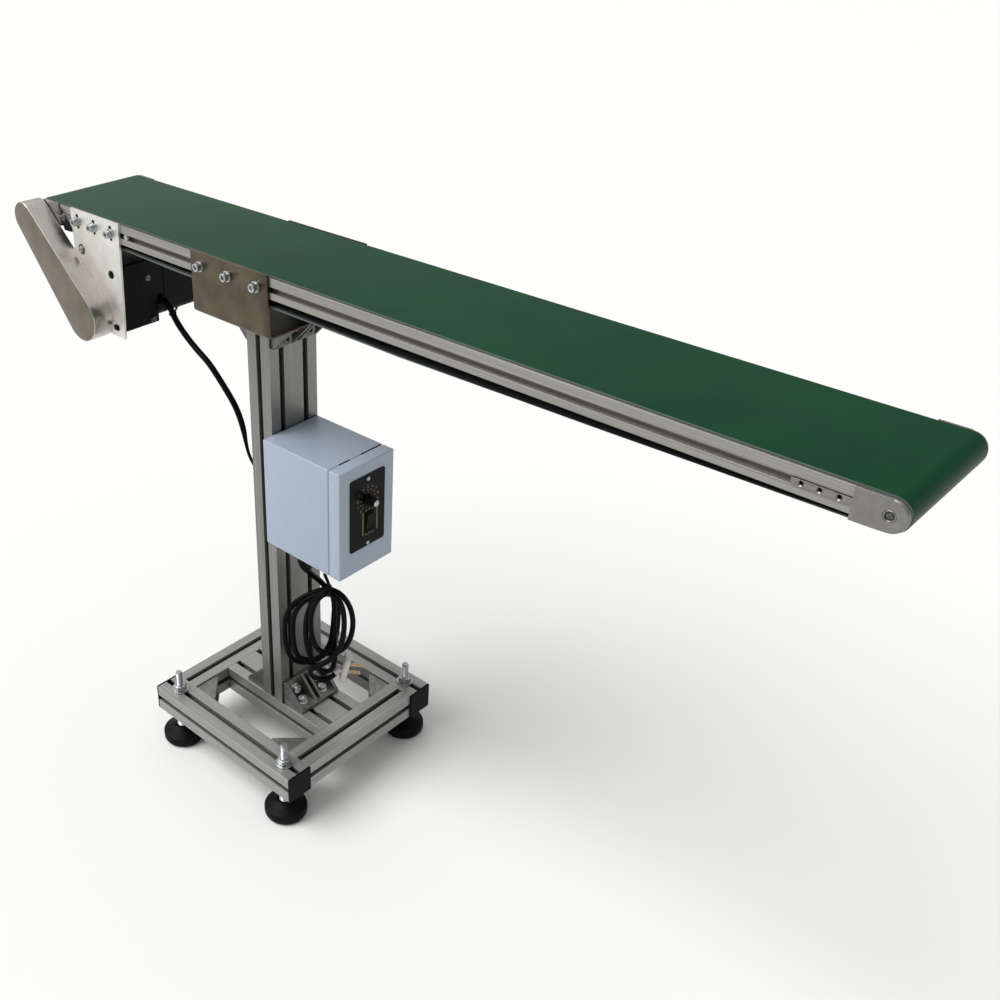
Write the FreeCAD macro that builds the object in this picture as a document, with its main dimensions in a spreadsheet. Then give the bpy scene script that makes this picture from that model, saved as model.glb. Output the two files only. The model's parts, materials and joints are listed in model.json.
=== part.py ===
"""Small belt conveyor on a single column stand.

X runs along the belt towards the tail, -Y is the side with the drive cover, Z is up.
The origin lies on the floor, midway between the four levelling feet.
"""
import FreeCAD, Part
import Sketcher
import math
import os

V = FreeCAD.Vector

doc = FreeCAD.newDocument("BeltConveyor")
sheet = doc.addObject("Spreadsheet::Sheet", "Size")

SIZES = (
    # alias, millimetres
    ("belt_width", 150), ("belt_thickness", 2), ("belt_sag", 8),
    ("roller_radius", 14), ("head_reach", 371), ("tail_reach", 764),
    ("roller_end_gap", 0.5), ("running_gap", 0.05), ("shaft_radius", 5), ("axle_radius", 5),
    ("axle_recess", 2.5), ("recess_radius", 5.5),
    ("rail_width", 20), ("rail_height", 27), ("rail_overhang", 3), ("rail_end_inset", 29.5),
    ("rail_slot_open", 7), ("rail_slot_lip", 2), ("rail_slot_inner", 12), ("rail_slot_depth", 7),
    ("rail_slot_drop", 13.5), ("deck_thickness", 3),
    ("plate_thickness", 3), ("block_thickness", 4), ("block_radius", 15),
    ("block_gap", 1), ("tongue_length", 50), ("head_tongue_length", 26), ("tongue_depth", 2.5),
    ("fit_gap", 0.25),
    ("saddle_length", 134.4), ("saddle_height", 77.5), ("saddle_rise", 3.5), ("saddle_bend", 2),
    ("profile", 40), ("column_width", 80), ("column_length", 590),
    ("slot_open", 8), ("slot_lip", 4), ("slot_inner", 16), ("slot_depth", 11),
    ("base_length", 280), ("base_width", 285), ("cap_thickness", 3),
    ("foot_height", 50), ("foot_spacing", 224), ("foot_radius", 30), ("foot_rim", 16),
    ("foot_cone", 10), ("foot_neck_radius", 12), ("shank_radius", 9), ("stud_radius", 5),
    ("stud_rise", 33), ("nut_radius", 10), ("nut_height", 8),
    ("bracket_leg", 38), ("bracket_wall", 5), ("bracket_width", 74), ("bracket_rib", 4),
    ("bracket_rib_gap", 6), ("corner_width", 36), ("bolt_head_radius", 7), ("bolt_head", 5),
    ("cover_depth", 30), ("cover_wall", 1.5), ("cover_head_radius", 20.7),
    ("cover_motor_radius", 31.9), ("cover_head_inset", 11.1), ("cover_head_drop", 5.7),
    ("cover_motor_inset", 97.1), ("cover_motor_drop", 117.5), ("cover_back_thickness", 2),
    ("cover_bore_gap", 0.8),
    ("head_plate_left", 58), ("head_plate_right", 162), ("head_plate_height", 157),
    ("head_plate_foot_left", 121), ("head_plate_foot_right", 152), ("head_plate_side", 116),
    ("head_slot_radius", 3.3), ("head_slot_travel", 13), ("head_slot_first", 72),
    ("head_slot_pitch", 36), ("head_hole_radius", 4.2), ("head_hole_inset", 136),
    ("head_hole_drop", 56),
    ("gearbox_inset", 104), ("gearbox_drop", 89), ("gearbox_size", 90), ("gearbox_length", 58),
    ("gearbox_corner", 2), ("motor_size", 80), ("motor_length", 86), ("motor_corner", 10),
    ("box_depth", 115), ("box_width", 96), ("box_height", 152), ("box_bottom", 285.5),
    ("box_offset", 8.5), ("box_wall", 2.5), ("lid_depth", 19.5), ("lid_gap", 0.4),
    ("box_round", 2),
    ("panel_width", 61), ("panel_height", 101.5), ("panel_thickness", 1.5), ("panel_raise", 8.5),
    ("panel_round", 3), ("unit_width", 52), ("unit_height", 88), ("unit_depth", 28),
    ("knob_radius", 7), ("knob_length", 15), ("knob_rise", 16),
    ("rocker_width", 14), ("rocker_height", 27), ("rocker_drop", 16), ("rocker_shift", 3),
    ("rocker_rise", 3),
    ("mains_radius", 3.7), ("sleeve_radius", 3.5), ("motor_lead_radius", 2.2),
    ("gland_radius", 8), ("mains_gland_length", 14), ("motor_gland_length", 5),
    ("motor_gland_drop", 18), ("motor_gland_inset", 10), ("box_gland_length", 8),
    ("box_gland_reach", 41.5), ("box_gland_rise", 64.5), ("mains_gland_reach", 35),
    ("mains_gland_shift", 19.5),
    ("hank_reach", 50), ("hank_shift", 3.5), ("hank_drop", 135.5),
    ("coil_radius", 51), ("coil_hole_radius", 20), ("coil_straight", 22), ("coil_thickness", 16),
    ("plug_thickness", 10), ("plug_width", 24), ("plug_height", 44), ("plug_neck_radius", 5),
    ("plug_neck_length", 12), ("pin_length", 18), ("pin_width", 6.3), ("pin_thickness", 1.5),
    ("pin_pitch", 12.7),
)
for row, (alias, value) in enumerate(SIZES, start=1):
    sheet.set(f"A{row}", alias)
    sheet.set(f"B{row}", str(value))
    sheet.setAlias(f"B{row}", alias)
doc.recompute()

# Levels and planes that several pieces share, each as one expression.
BASE_TOP = "(Size.foot_height + Size.profile)"
COLUMN_TOP = f"({BASE_TOP} + Size.column_length)"
RAIL_TOP = f"({COLUMN_TOP} + Size.saddle_height - Size.saddle_rise)"
BELT_TOP = f"({RAIL_TOP} + Size.belt_thickness)"
AXLE_Z = f"({RAIL_TOP} - Size.roller_radius)"
SLOT_Z = f"({RAIL_TOP} - Size.rail_slot_drop)"
RAIL_FACE = "(Size.belt_width / 2 + Size.rail_overhang)"
RAIL_INNER = f"({RAIL_FACE} - Size.rail_width)"
PLATE_FACE = f"({RAIL_FACE} + Size.plate_thickness)"
BLOCK_INNER = "(Size.belt_width / 2 + Size.block_gap)"
BLOCK_FACE = f"({BLOCK_INNER} + Size.block_thickness)"
HEAD_X = "(-Size.head_reach)"
TAIL_X = "Size.tail_reach"
RAIL_START = f"({HEAD_X} + Size.rail_end_inset)"
RAIL_END = f"({TAIL_X} - Size.rail_end_inset)"
HALF = "Size.profile / 2"
SIDE_Y = f"(Size.base_width / 2 - {HALF})"
END_X = f"(Size.base_length / 2 - {HALF})"
FOOT_X = "(Size.foot_spacing / 2)"
COLUMN_FACE = f"({HALF})"
GEARBOX_X = f"({HEAD_X} + Size.gearbox_inset)"
GEARBOX_Z = f"({AXLE_Z} - Size.gearbox_drop)"
MOTOR_START = f"(Size.gearbox_length - {RAIL_FACE})"
BOX_BOTTOM = f"({BASE_TOP} + Size.box_bottom)"
BOX_TOP = f"({BOX_BOTTOM} + Size.box_height)"
BOX_Y = "(-Size.box_offset)"
LID_BACK = f"({COLUMN_FACE} + Size.box_depth)"
LID_FRONT = f"({LID_BACK} + Size.lid_depth)"
PANEL_FRONT = f"({LID_FRONT} + Size.panel_thickness)"
PANEL_Z = f"({BOX_BOTTOM} + Size.box_height / 2 + Size.panel_raise)"

PLANES = {"XY": "XY_Plane", "XZ": "XZ_Plane", "YZ": "YZ_Plane"}


def number(expression):
    """The present value of an expression of the sheet, in millimetres."""
    value = sheet.evalExpression(str(expression))
    return float(getattr(value, "Value", value))


def new_body(name):
    """An empty body whose label is the name of its node."""
    body = doc.addObject("PartDesign::Body", name)
    body.Label = name
    return body


def new_sketch(body, name, plane, offset="0"):
    """A sketch on one of the body's origin planes, moved along its normal by offset."""
    sketch = body.newObject("Sketcher::SketchObject", name)
    role = PLANES[plane]
    origin_plane = [item for item in body.Origin.OriginFeatures if item.Role == role][0]
    sketch.AttachmentSupport = [(origin_plane, "")]
    sketch.MapMode = "FlatFace"
    sketch.setExpression("AttachmentOffset.Base.z", str(offset))
    doc.recompute()
    return sketch


def bind(sketch, constraint, expression):
    """Add a dimension and tie it to the sheet."""
    index = sketch.addConstraint(constraint)
    label = f"d{index}"
    sketch.renameConstraint(index, label)
    sketch.setExpression(f"Constraints.{label}", str(expression))


def outline(sketch, corners):
    """A closed polygon whose corners are pairs of expressions."""
    points = [V(number(u), number(v), 0) for u, v in corners]
    first = sketch.GeometryCount
    count = len(points)
    for i in range(count):
        sketch.addGeometry(Part.LineSegment(points[i], points[(i + 1) % count]))
    for i in range(count):
        following = first + (i + 1) % count
        sketch.addConstraint(Sketcher.Constraint("Coincident", first + i, 2, following, 1))
    for i, (u, v) in enumerate(corners):
        bind(sketch, Sketcher.Constraint("DistanceX", -1, 1, first + i, 1, points[i].x), u)
        bind(sketch, Sketcher.Constraint("DistanceY", -1, 1, first + i, 1, points[i].y), v)


def rectangle(sketch, left, right, bottom, top):
    """A closed rectangle between four expressions."""
    outline(sketch, [(left, bottom), (right, bottom), (right, top), (left, top)])


def circle(sketch, u, v, radius):
    """A circle with its centre and radius tied to the sheet."""
    centre = V(number(u), number(v), 0)
    index = sketch.addGeometry(Part.Circle(centre, V(0, 0, 1), number(radius)))
    bind(sketch, Sketcher.Constraint("DistanceX", -1, 1, index, 3, centre.x), u)
    bind(sketch, Sketcher.Constraint("DistanceY", -1, 1, index, 3, centre.y), v)
    bind(sketch, Sketcher.Constraint("Radius", index, number(radius)), radius)


def hull(sketch, first, second):
    """The outline round two circles, each given as centre u, centre v and radius."""
    (u1, v1, r1), (u2, v2, r2) = [[number(x) for x in item] for item in (first, second)]
    run = math.hypot(u2 - u1, v2 - v1)
    heading = math.atan2(v2 - v1, u2 - u1)
    lean = math.acos((r1 - r2) / run)
    c1 = V(u1, v1, 0)
    c2 = V(u2, v2, 0)
    up = V(math.cos(heading + lean), math.sin(heading + lean), 0)
    low = V(math.cos(heading - lean), math.sin(heading - lean), 0)
    start = sketch.GeometryCount
    round1 = Part.Circle(c1, V(0, 0, 1), r1)
    round2 = Part.Circle(c2, V(0, 0, 1), r2)
    sketch.addGeometry(Part.ArcOfCircle(round1, heading + lean, heading - lean + 2 * math.pi))
    sketch.addGeometry(Part.LineSegment(c1 + low * r1, c2 + low * r2))
    sketch.addGeometry(Part.ArcOfCircle(round2, heading - lean, heading + lean))
    sketch.addGeometry(Part.LineSegment(c2 + up * r2, c1 + up * r1))
    for i in range(4):
        following = start + (i + 1) % 4
        sketch.addConstraint(Sketcher.Constraint("Tangent", start + i, 2, following, 1))
    for index, (u, v, r) in ((start, first), (start + 2, second)):
        bind(sketch, Sketcher.Constraint("DistanceX", -1, 1, index, 3, number(u)), u)
        bind(sketch, Sketcher.Constraint("DistanceY", -1, 1, index, 3, number(v)), v)
        bind(sketch, Sketcher.Constraint("Radius", index, number(r)), r)


def pad(body, sketch, length, middle=False, reverse=False):
    """Extrude a sketch by an expression."""
    feature = body.newObject("PartDesign::Pad", sketch.Name + "_pad")
    feature.Profile = sketch
    feature.setExpression("Length", str(length))
    feature.Midplane = middle
    feature.Reversed = reverse
    doc.recompute()
    return feature


def pocket(body, sketch, length=None, reverse=False, middle=False):
    """Cut a sketch out of the body, right through where no length is given."""
    before = body.Shape.Volume
    feature = body.newObject("PartDesign::Pocket", sketch.Name + "_cut")
    feature.Profile = sketch
    feature.Reversed = reverse
    feature.Midplane = middle
    if length is None:
        feature.Type = "ThroughAll"
    else:
        feature.setExpression("Length", str(length))
    doc.recompute()
    if not body.Shape.Volume < before - 0.01:
        raise RuntimeError(f"{sketch.Name} cuts nothing")
    return feature


def revolve(body, sketch, axis):
    """Turn a sketch all the way round one of its own axes."""
    feature = body.newObject("PartDesign::Revolution", sketch.Name + "_turn")
    feature.Profile = sketch
    feature.ReferenceAxis = (sketch, [axis])
    feature.Angle = 360
    doc.recompute()
    return feature


def round_edges(body, name, radius, chosen):
    """Round those edges of the body whose end points pass the test."""
    base = body.Tip
    edges = []
    for i, edge in enumerate(body.Shape.Edges, start=1):
        if chosen([vertex.Point for vertex in edge.Vertexes]):
            edges.append(f"Edge{i}")
    if not edges:
        raise RuntimeError(f"{name} rounds nothing")
    feature = body.newObject("PartDesign::Fillet", name)
    feature.Base = (base, edges)
    feature.setExpression("Radius", str(radius))
    doc.recompute()
    return feature


def place(item, x="0", y="0", z="0", axis=None, angle=0):
    """Turn an object about an axis and move it to a place given by expressions."""
    if axis:
        item.Placement = FreeCAD.Placement(V(), FreeCAD.Rotation(V(*axis), angle))
    for letter, expression in zip("xyz", (x, y, z)):
        item.setExpression(f"Placement.Base.{letter}", str(expression))
    return item


def rod(name, radius, length, x, y, z, axis=None, angle=0):
    """A cylinder that starts at a place and runs along its own axis."""
    item = doc.addObject("Part::Cylinder", name)
    item.setExpression("Radius", str(radius))
    item.setExpression("Height", str(length))
    return place(item, x, y, z, axis, angle)


def hexagon(name, radius, length, x, y, z, axis=None, angle=0):
    """A hexagon prism, as on a nut."""
    item = doc.addObject("Part::Prism", name)
    item.Polygon = 6
    item.setExpression("Circumradius", str(radius))
    item.setExpression("Height", str(length))
    return place(item, x, y, z, axis, angle)


def block(label, size, corner=None):
    """A box of the given length, width and height, with one corner where it is told."""
    item = doc.addObject("Part::Box", label)
    for side, expression in zip(("Length", "Width", "Height"), size):
        item.setExpression(side, expression)
    return place(item, *corner) if corner else item


def group(label, items):
    """Several solids joined as one sub-part."""
    item = doc.addObject("Part::MultiFuse", label)
    item.Shapes = items
    item.Refine = False
    item.Label = label
    return item


PARTS = []


def keep(item):
    """List a finished sub-part for export under its label."""
    PARTS.append(item)
    return item


def slotted(half_u, half_v, slots_u, slots_v):
    """Corners of an extruded section with T slots.

    slots_u are the slot centres along u on the faces at -v and +v, and slots_v those
    along v on the faces at -u and +u.
    """
    def side(centres, face, sign, forward):
        """Points along one face: sign is the side of the face, forward its direction."""
        points = []
        ordered = sorted(centres, key=number, reverse=not forward)
        step = 1 if forward else -1
        lip = f"({face} - Size.slot_lip) * {sign}"
        depth = f"({face} - Size.slot_depth) * {sign}"
        edge = f"{face} * {sign}"
        for centre in ordered:
            narrow = [f"{centre} - {step} * Size.slot_open / 2",
                      f"{centre} + {step} * Size.slot_open / 2"]
            wide = [f"{centre} - {step} * Size.slot_inner / 2",
                    f"{centre} + {step} * Size.slot_inner / 2"]
            points += [(narrow[0], edge), (narrow[0], lip), (wide[0], lip), (wide[0], depth)]
            points += [(wide[1], depth), (wide[1], lip), (narrow[1], lip), (narrow[1], edge)]
        return points

    corners = [(f"-{half_u}", f"-{half_v}")]
    corners += side(slots_u, half_v, -1, True)
    corners.append((half_u, f"-{half_v}"))
    corners += [(v, u) for u, v in side(slots_v, half_u, 1, True)]
    corners.append((half_u, half_v))
    corners += side(slots_u, half_v, 1, False)
    corners.append((f"-{half_u}", half_v))
    corners += [(v, u) for u, v in side(slots_v, half_u, -1, False)]
    return corners


# Stand: column, base members, caps and feet


def column():
    """Upright 40 by 80 section, its wide faces towards the head and the tail."""
    body = new_body("column")
    sketch = new_sketch(body, "column_section", "XY", BASE_TOP)
    wide = "Size.column_width / 2"
    slots = ["(-Size.column_width / 4)", "(Size.column_width / 4)"]
    outline(sketch, slotted(f"({HALF})", f"({wide})", ["0"], slots))
    pad(body, sketch, "Size.column_length")
    keep(body)


def base_members():
    """Two side members, two end members between them and a wide centre member."""
    level = "(Size.foot_height + Size.profile / 2)"
    square = slotted(f"({HALF})", f"({HALF})", ["0"], ["0"])
    for side, sign in (("near", -1), ("far", 1)):
        body = new_body(f"base_side_{side}")
        sketch = new_sketch(body, f"side_section_{side}", "YZ")
        outline(sketch, square)
        pad(body, sketch, "Size.base_length", middle=True)
        keep(place(body, "0", f"{sign} * {SIDE_Y}", level))
    for end, sign in (("head", -1), ("tail", 1)):
        body = new_body(f"base_end_{end}")
        sketch = new_sketch(body, f"end_section_{end}", "XZ")
        outline(sketch, square)
        pad(body, sketch, "Size.base_width - 2 * Size.profile", middle=True)
        keep(place(body, f"{sign} * {END_X}", "0", level))
    body = new_body("base_centre")
    sketch = new_sketch(body, "centre_section", "YZ")
    wide = "Size.column_width / 2"
    slots = ["(-Size.column_width / 4)", "(Size.column_width / 4)"]
    outline(sketch, slotted(f"({wide})", f"({HALF})", slots, ["0"]))
    pad(body, sketch, "Size.base_length - 2 * Size.profile", middle=True)
    keep(place(body, "0", "0", level))


def end_caps():
    """Moulded caps over both ends of the side members."""
    caps = []
    for x_sign in (-1, 1):
        for y_sign in (-1, 1):
            outer = "Size.base_length / 2"
            if x_sign < 0:
                outer = "-Size.base_length / 2 - Size.cap_thickness"
            caps.append(block(f"cap_{len(caps)}",
                              ("Size.cap_thickness", "Size.profile", "Size.profile"),
                              (outer, f"{y_sign} * {SIDE_Y} - {HALF}", "Size.foot_height")))
    keep(group("end_caps", caps))


def feet():
    """Levelling feet: a domed pad with its shank, and the stud's end with its nut on top.

    The stretch of the stud that the base member hides is left out.
    """
    pads = []
    studs = []
    pad_top = "(Size.foot_rim + Size.foot_cone)"
    for x_sign in (-1, 1):
        for y_sign in (-1, 1):
            count = len(pads)
            x = f"{x_sign} * {FOOT_X}"
            y = f"{y_sign} * {SIDE_Y}"
            body = new_body(f"foot_pad_{count}")
            sketch = new_sketch(body, f"pad_section_{count}", "XZ")
            outline(sketch, [("0", "0"), ("Size.foot_radius", "0"),
                             ("Size.foot_radius", "Size.foot_rim"),
                             ("Size.foot_neck_radius", pad_top), ("0", pad_top)])
            revolve(body, sketch, "V_Axis")
            pads.append(place(body, x, y))
            level = "Size.foot_height + Size.profile"
            shank = hexagon(f"shank_{count}", "Size.shank_radius",
                            f"Size.foot_height - {pad_top}", x, y, pad_top)
            stud = rod(f"stud_{count}", "Size.stud_radius", "Size.stud_rise", x, y, level)
            nut = hexagon(f"nut_{count}", "Size.nut_radius", "Size.nut_height", x, y, level)
            studs += [shank, stud, nut]
    keep(group("foot_pads", pads))
    keep(group("foot_studs", studs))


def cast_bracket(name, width, bays):
    """Die-cast angle bracket with its corner at the origin and legs along +X and +Z.

    Webs close both ends and two ribs stand between the bays. Returns the body and the
    middles of its bays.
    """
    leg = "Size.bracket_leg"
    wall = "Size.bracket_wall"
    body = new_body(name)
    sketch = new_sketch(body, f"{name}_side", "XZ")
    outline(sketch, [("0", "0"), (leg, "0"), (leg, wall), (wall, leg), ("0", leg)])
    pad(body, sketch, width, middle=True)
    if bays == 2:
        inner = "(Size.bracket_rib_gap / 2 + Size.bracket_rib)"
        length = f"({width} / 2 - {wall} - {inner})"
        centres = [f"(-{inner} - {length} / 2)", f"({inner} + {length} / 2)"]
        cuts = [(centres[0], length), ("0", "Size.bracket_rib_gap"), (centres[1], length)]
    else:
        centres = ["0"]
        cuts = [("0", f"({width} - 2 * {wall})")]
    for i, (centre, length) in enumerate(cuts):
        bay = new_sketch(body, f"{name}_bay_{i}", "XZ", f"-({centre}) - {length} / 2")
        rectangle(bay, wall, leg, wall, leg)
        pocket(body, bay, length, reverse=True)
    return body, centres


def bracket_bolts(name, centres):
    """Bolt heads on both legs of one bracket, in the bracket's own axes."""
    reach = "(Size.bracket_leg + Size.bracket_wall) / 2"
    wall = "Size.bracket_wall"
    bolts = []
    for i, centre in enumerate(centres):
        size = ("Size.bolt_head_radius", "Size.bolt_head")
        bolts.append(hexagon(f"{name}_low_{i}", *size, reach, centre, wall))
        bolts.append(hexagon(f"{name}_tall_{i}", *size, wall, centre, reach, (0, 1, 0), 90))
    return bolts


def brackets():
    """Wide brackets at the column's foot and top, and one in each corner of the base."""
    upright = FreeCAD.Rotation()
    upside_down = FreeCAD.Rotation(V(1, 0, 0), 180)
    lying = FreeCAD.Rotation(V(1, 0, 0), -90)
    inner_x = "(Size.base_length / 2 - Size.profile)"
    inner_y = "(Size.base_width / 2 - Size.profile)"
    middle = "(Size.foot_height + Size.profile / 2)"
    rows = (
        # label, width, bays, first turn, then x, y, z and turn about Z of each
        ("column_foot_brackets", "Size.bracket_width", 2, upright,
         ((COLUMN_FACE, "0", BASE_TOP, 0), (f"-{COLUMN_FACE}", "0", BASE_TOP, 180))),
        ("column_top_brackets", "Size.bracket_width", 2, upside_down,
         ((COLUMN_FACE, "0", COLUMN_TOP, 0), (f"-{COLUMN_FACE}", "0", COLUMN_TOP, 180))),
        ("corner_brackets", "Size.corner_width", 1, lying,
         ((inner_x, inner_y, middle, 180), (f"-{inner_x}", inner_y, middle, 270),
          (f"-{inner_x}", f"-{inner_y}", middle, 0), (inner_x, f"-{inner_y}", middle, 90))),
    )
    bolts = []
    for label, width, bays, first_turn, spots in rows:
        castings = []
        for i, (x, y, z, angle) in enumerate(spots):
            name = f"{label}_{i}"
            casting, centres = cast_bracket(name, width, bays)
            heads = group(f"{name}_bolts", bracket_bolts(name, centres))
            turn = FreeCAD.Rotation(V(0, 0, 1), angle).multiply(first_turn)
            for item in (casting, heads):
                item.Placement = FreeCAD.Placement(V(), turn)
                place(item, x, y, z)
            castings.append(casting)
            bolts.append(heads)
        keep(group(label, castings))
    keep(group("bracket_bolts", bolts))


# Conveyor frame: saddle, rails, deck and end blocks


def saddle():
    """Bent plate bracket that carries both rails on top of the column."""
    body = new_body("saddle")
    sketch = new_sketch(body, "saddle_section", "YZ")
    outer = PLATE_FACE
    inner = RAIL_FACE
    top = f"({COLUMN_TOP} + Size.saddle_height)"
    floor = f"({COLUMN_TOP} + Size.plate_thickness)"
    outline(sketch, [(f"-{outer}", COLUMN_TOP), (outer, COLUMN_TOP), (outer, top), (inner, top),
                     (inner, floor), (f"-{inner}", floor), (f"-{inner}", top),
                     (f"-{outer}", top)])
    pad(body, sketch, "Size.saddle_length", middle=True)
    def lengthwise(ends, y, z):
        """Whether an edge runs along the saddle at +-y and at the height z."""
        return (abs(ends[0].x - ends[-1].x) > 1
                and all(abs(abs(p.y) - number(y)) < 0.01 for p in ends)
                and all(abs(p.z - number(z)) < 0.01 for p in ends))
    round_edges(body, "saddle_inner_bends", "Size.saddle_bend",
                lambda ends: lengthwise(ends, inner, floor))
    round_edges(body, "saddle_outer_bends", "Size.saddle_bend + Size.plate_thickness",
                lambda ends: lengthwise(ends, outer, COLUMN_TOP))
    keep(body)


def rails():
    """Side rails with one T slot on the outside, on both sides of the deck."""
    for side, sign in (("near", -1), ("far", 1)):
        body = new_body(f"rail_{side}")
        sketch = new_sketch(body, f"rail_section_{side}", "YZ", RAIL_START)
        face = f"{sign} * {RAIL_FACE}"
        lip = f"{sign} * ({RAIL_FACE} - Size.rail_slot_lip)"
        floor = f"{sign} * ({RAIL_FACE} - Size.rail_slot_depth)"
        inner = f"{sign} * {RAIL_INNER}"
        bottom = f"{RAIL_TOP} - Size.rail_height"
        low, high = [f"{SLOT_Z} {s} Size.rail_slot_open / 2" for s in "-+"]
        deep, tall = [f"{SLOT_Z} {s} Size.rail_slot_inner / 2" for s in "-+"]
        outline(sketch, [(inner, bottom), (face, bottom), (face, low), (lip, low), (lip, deep),
                         (floor, deep), (floor, tall), (lip, tall), (lip, high), (face, high),
                         (face, RAIL_TOP), (inner, RAIL_TOP)])
        pad(body, sketch, f"{RAIL_END} - {RAIL_START}")
        keep(body)


def deck():
    """Flat bed between the rails that the carrying strand slides on."""
    keep(block("deck", (f"{RAIL_END} - {RAIL_START}", f"2 * {RAIL_INNER}", "Size.deck_thickness"),
               (RAIL_START, f"-{RAIL_INNER}", f"{RAIL_TOP} - Size.deck_thickness")))


def end_blocks():
    """Round-nosed plates that carry the rollers, each with a tongue in its rail's slot."""
    ends = (("tail", 1, TAIL_X, RAIL_END, "Size.tongue_length", "Size.axle_radius"),
            ("head", -1, HEAD_X, RAIL_START, "Size.head_tongue_length",
             "Size.shaft_radius + Size.running_gap"))
    for end, way, axle, rail_end, tongue, bore in ends:
        for side, sign in (("near", -1), ("far", 1)):
            name = f"{end}_block_{side}"
            body = new_body(name)
            offset = f"{-sign} * {BLOCK_INNER}"
            sketch = new_sketch(body, f"{name}_side", "XZ", offset)
            heel = f"({rail_end} + {way} * Size.fit_gap)"
            low, high = [f"{AXLE_Z} {s} Size.block_radius" for s in "-+"]
            nose_sketch(sketch, heel, axle, low, high, way)
            pad(body, sketch, "Size.block_thickness", reverse=sign > 0)
            finger = new_sketch(body, f"{name}_tongue", "XZ", f"{-sign} * {BLOCK_FACE}")
            half = "(Size.rail_slot_open / 2 - Size.fit_gap)"
            ends_u = [f"{rail_end} - {way} * {tongue}", f"{heel} + {way} * Size.block_radius / 2"]
            if way < 0:
                ends_u.reverse()
            rectangle(finger, ends_u[0], ends_u[1], f"{SLOT_Z} - {half}", f"{SLOT_Z} + {half}")
            pad(body, finger, f"{BLOCK_FACE} - {RAIL_FACE} + Size.tongue_depth",
                reverse=sign < 0)
            hole = new_sketch(body, f"{name}_bore", "XZ")
            circle(hole, axle, AXLE_Z, bore)
            pocket(body, hole, "2 * Size.belt_width", middle=True)
            if end == "tail":
                axle_well(body, name, sign)
            keep(body)


def axle_well(body, name, sign):
    """The well over the end of the axle, in the outer face of a tail block."""
    well = new_sketch(body, f"{name}_recess", "XZ", f"{-sign} * {BLOCK_FACE}")
    circle(well, TAIL_X, AXLE_Z, "Size.recess_radius")
    pocket(body, well, "Size.axle_recess", reverse=sign > 0)


def nose_sketch(sketch, heel, axle, low, high, way):
    """A block outline: square at the heel, half round about the axle at the nose."""
    radius = number("Size.block_radius")
    centre = V(number(axle), number(AXLE_Z), 0)
    x0 = number(heel)
    z0, z1 = number(low), number(high)
    corners = [V(x0, z1, 0), V(x0, z0, 0), V(centre.x, z0, 0), V(centre.x, z1, 0)]
    sketch.addGeometry(Part.LineSegment(corners[0], corners[1]))
    sketch.addGeometry(Part.LineSegment(corners[1], corners[2]))
    ring = Part.Circle(centre, V(0, 0, 1), radius)
    spans = (-math.pi / 2, math.pi / 2) if way > 0 else (math.pi / 2, 3 * math.pi / 2)
    sketch.addGeometry(Part.ArcOfCircle(ring, *spans))
    sketch.addGeometry(Part.LineSegment(corners[3], corners[0]))
    arc_start, arc_end = (1, 2) if way > 0 else (2, 1)
    add = sketch.addConstraint
    add(Sketcher.Constraint("Coincident", 0, 2, 1, 1))
    add(Sketcher.Constraint("Tangent", 1, 2, 2, arc_start))
    add(Sketcher.Constraint("Tangent", 2, arc_end, 3, 1))
    add(Sketcher.Constraint("Coincident", 3, 2, 0, 1))
    add(Sketcher.Constraint("Vertical", 0))
    add(Sketcher.Constraint("Horizontal", 1))
    add(Sketcher.Constraint("Horizontal", 3))
    bind(sketch, Sketcher.Constraint("DistanceX", -1, 1, 0, 1, x0), heel)
    bind(sketch, Sketcher.Constraint("DistanceX", -1, 1, 2, 3, centre.x), axle)
    bind(sketch, Sketcher.Constraint("DistanceY", -1, 1, 2, 3, centre.y), AXLE_Z)
    bind(sketch, Sketcher.Constraint("Radius", 2, radius), "Size.block_radius")


# Moving belt path


def belt():
    """One endless loop: flat on top, round both rollers, sagging a little underneath."""
    body = new_body("belt")
    outer = new_sketch(body, "belt_outside", "XZ")
    loop_sketch(outer, "Size.roller_radius + Size.belt_thickness")
    pad(body, outer, "Size.belt_width", middle=True)
    inner = new_sketch(body, "belt_inside", "XZ")
    loop_sketch(inner, "Size.roller_radius")
    pocket(body, inner, "Size.belt_width * 2", middle=True)
    keep(body)


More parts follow.
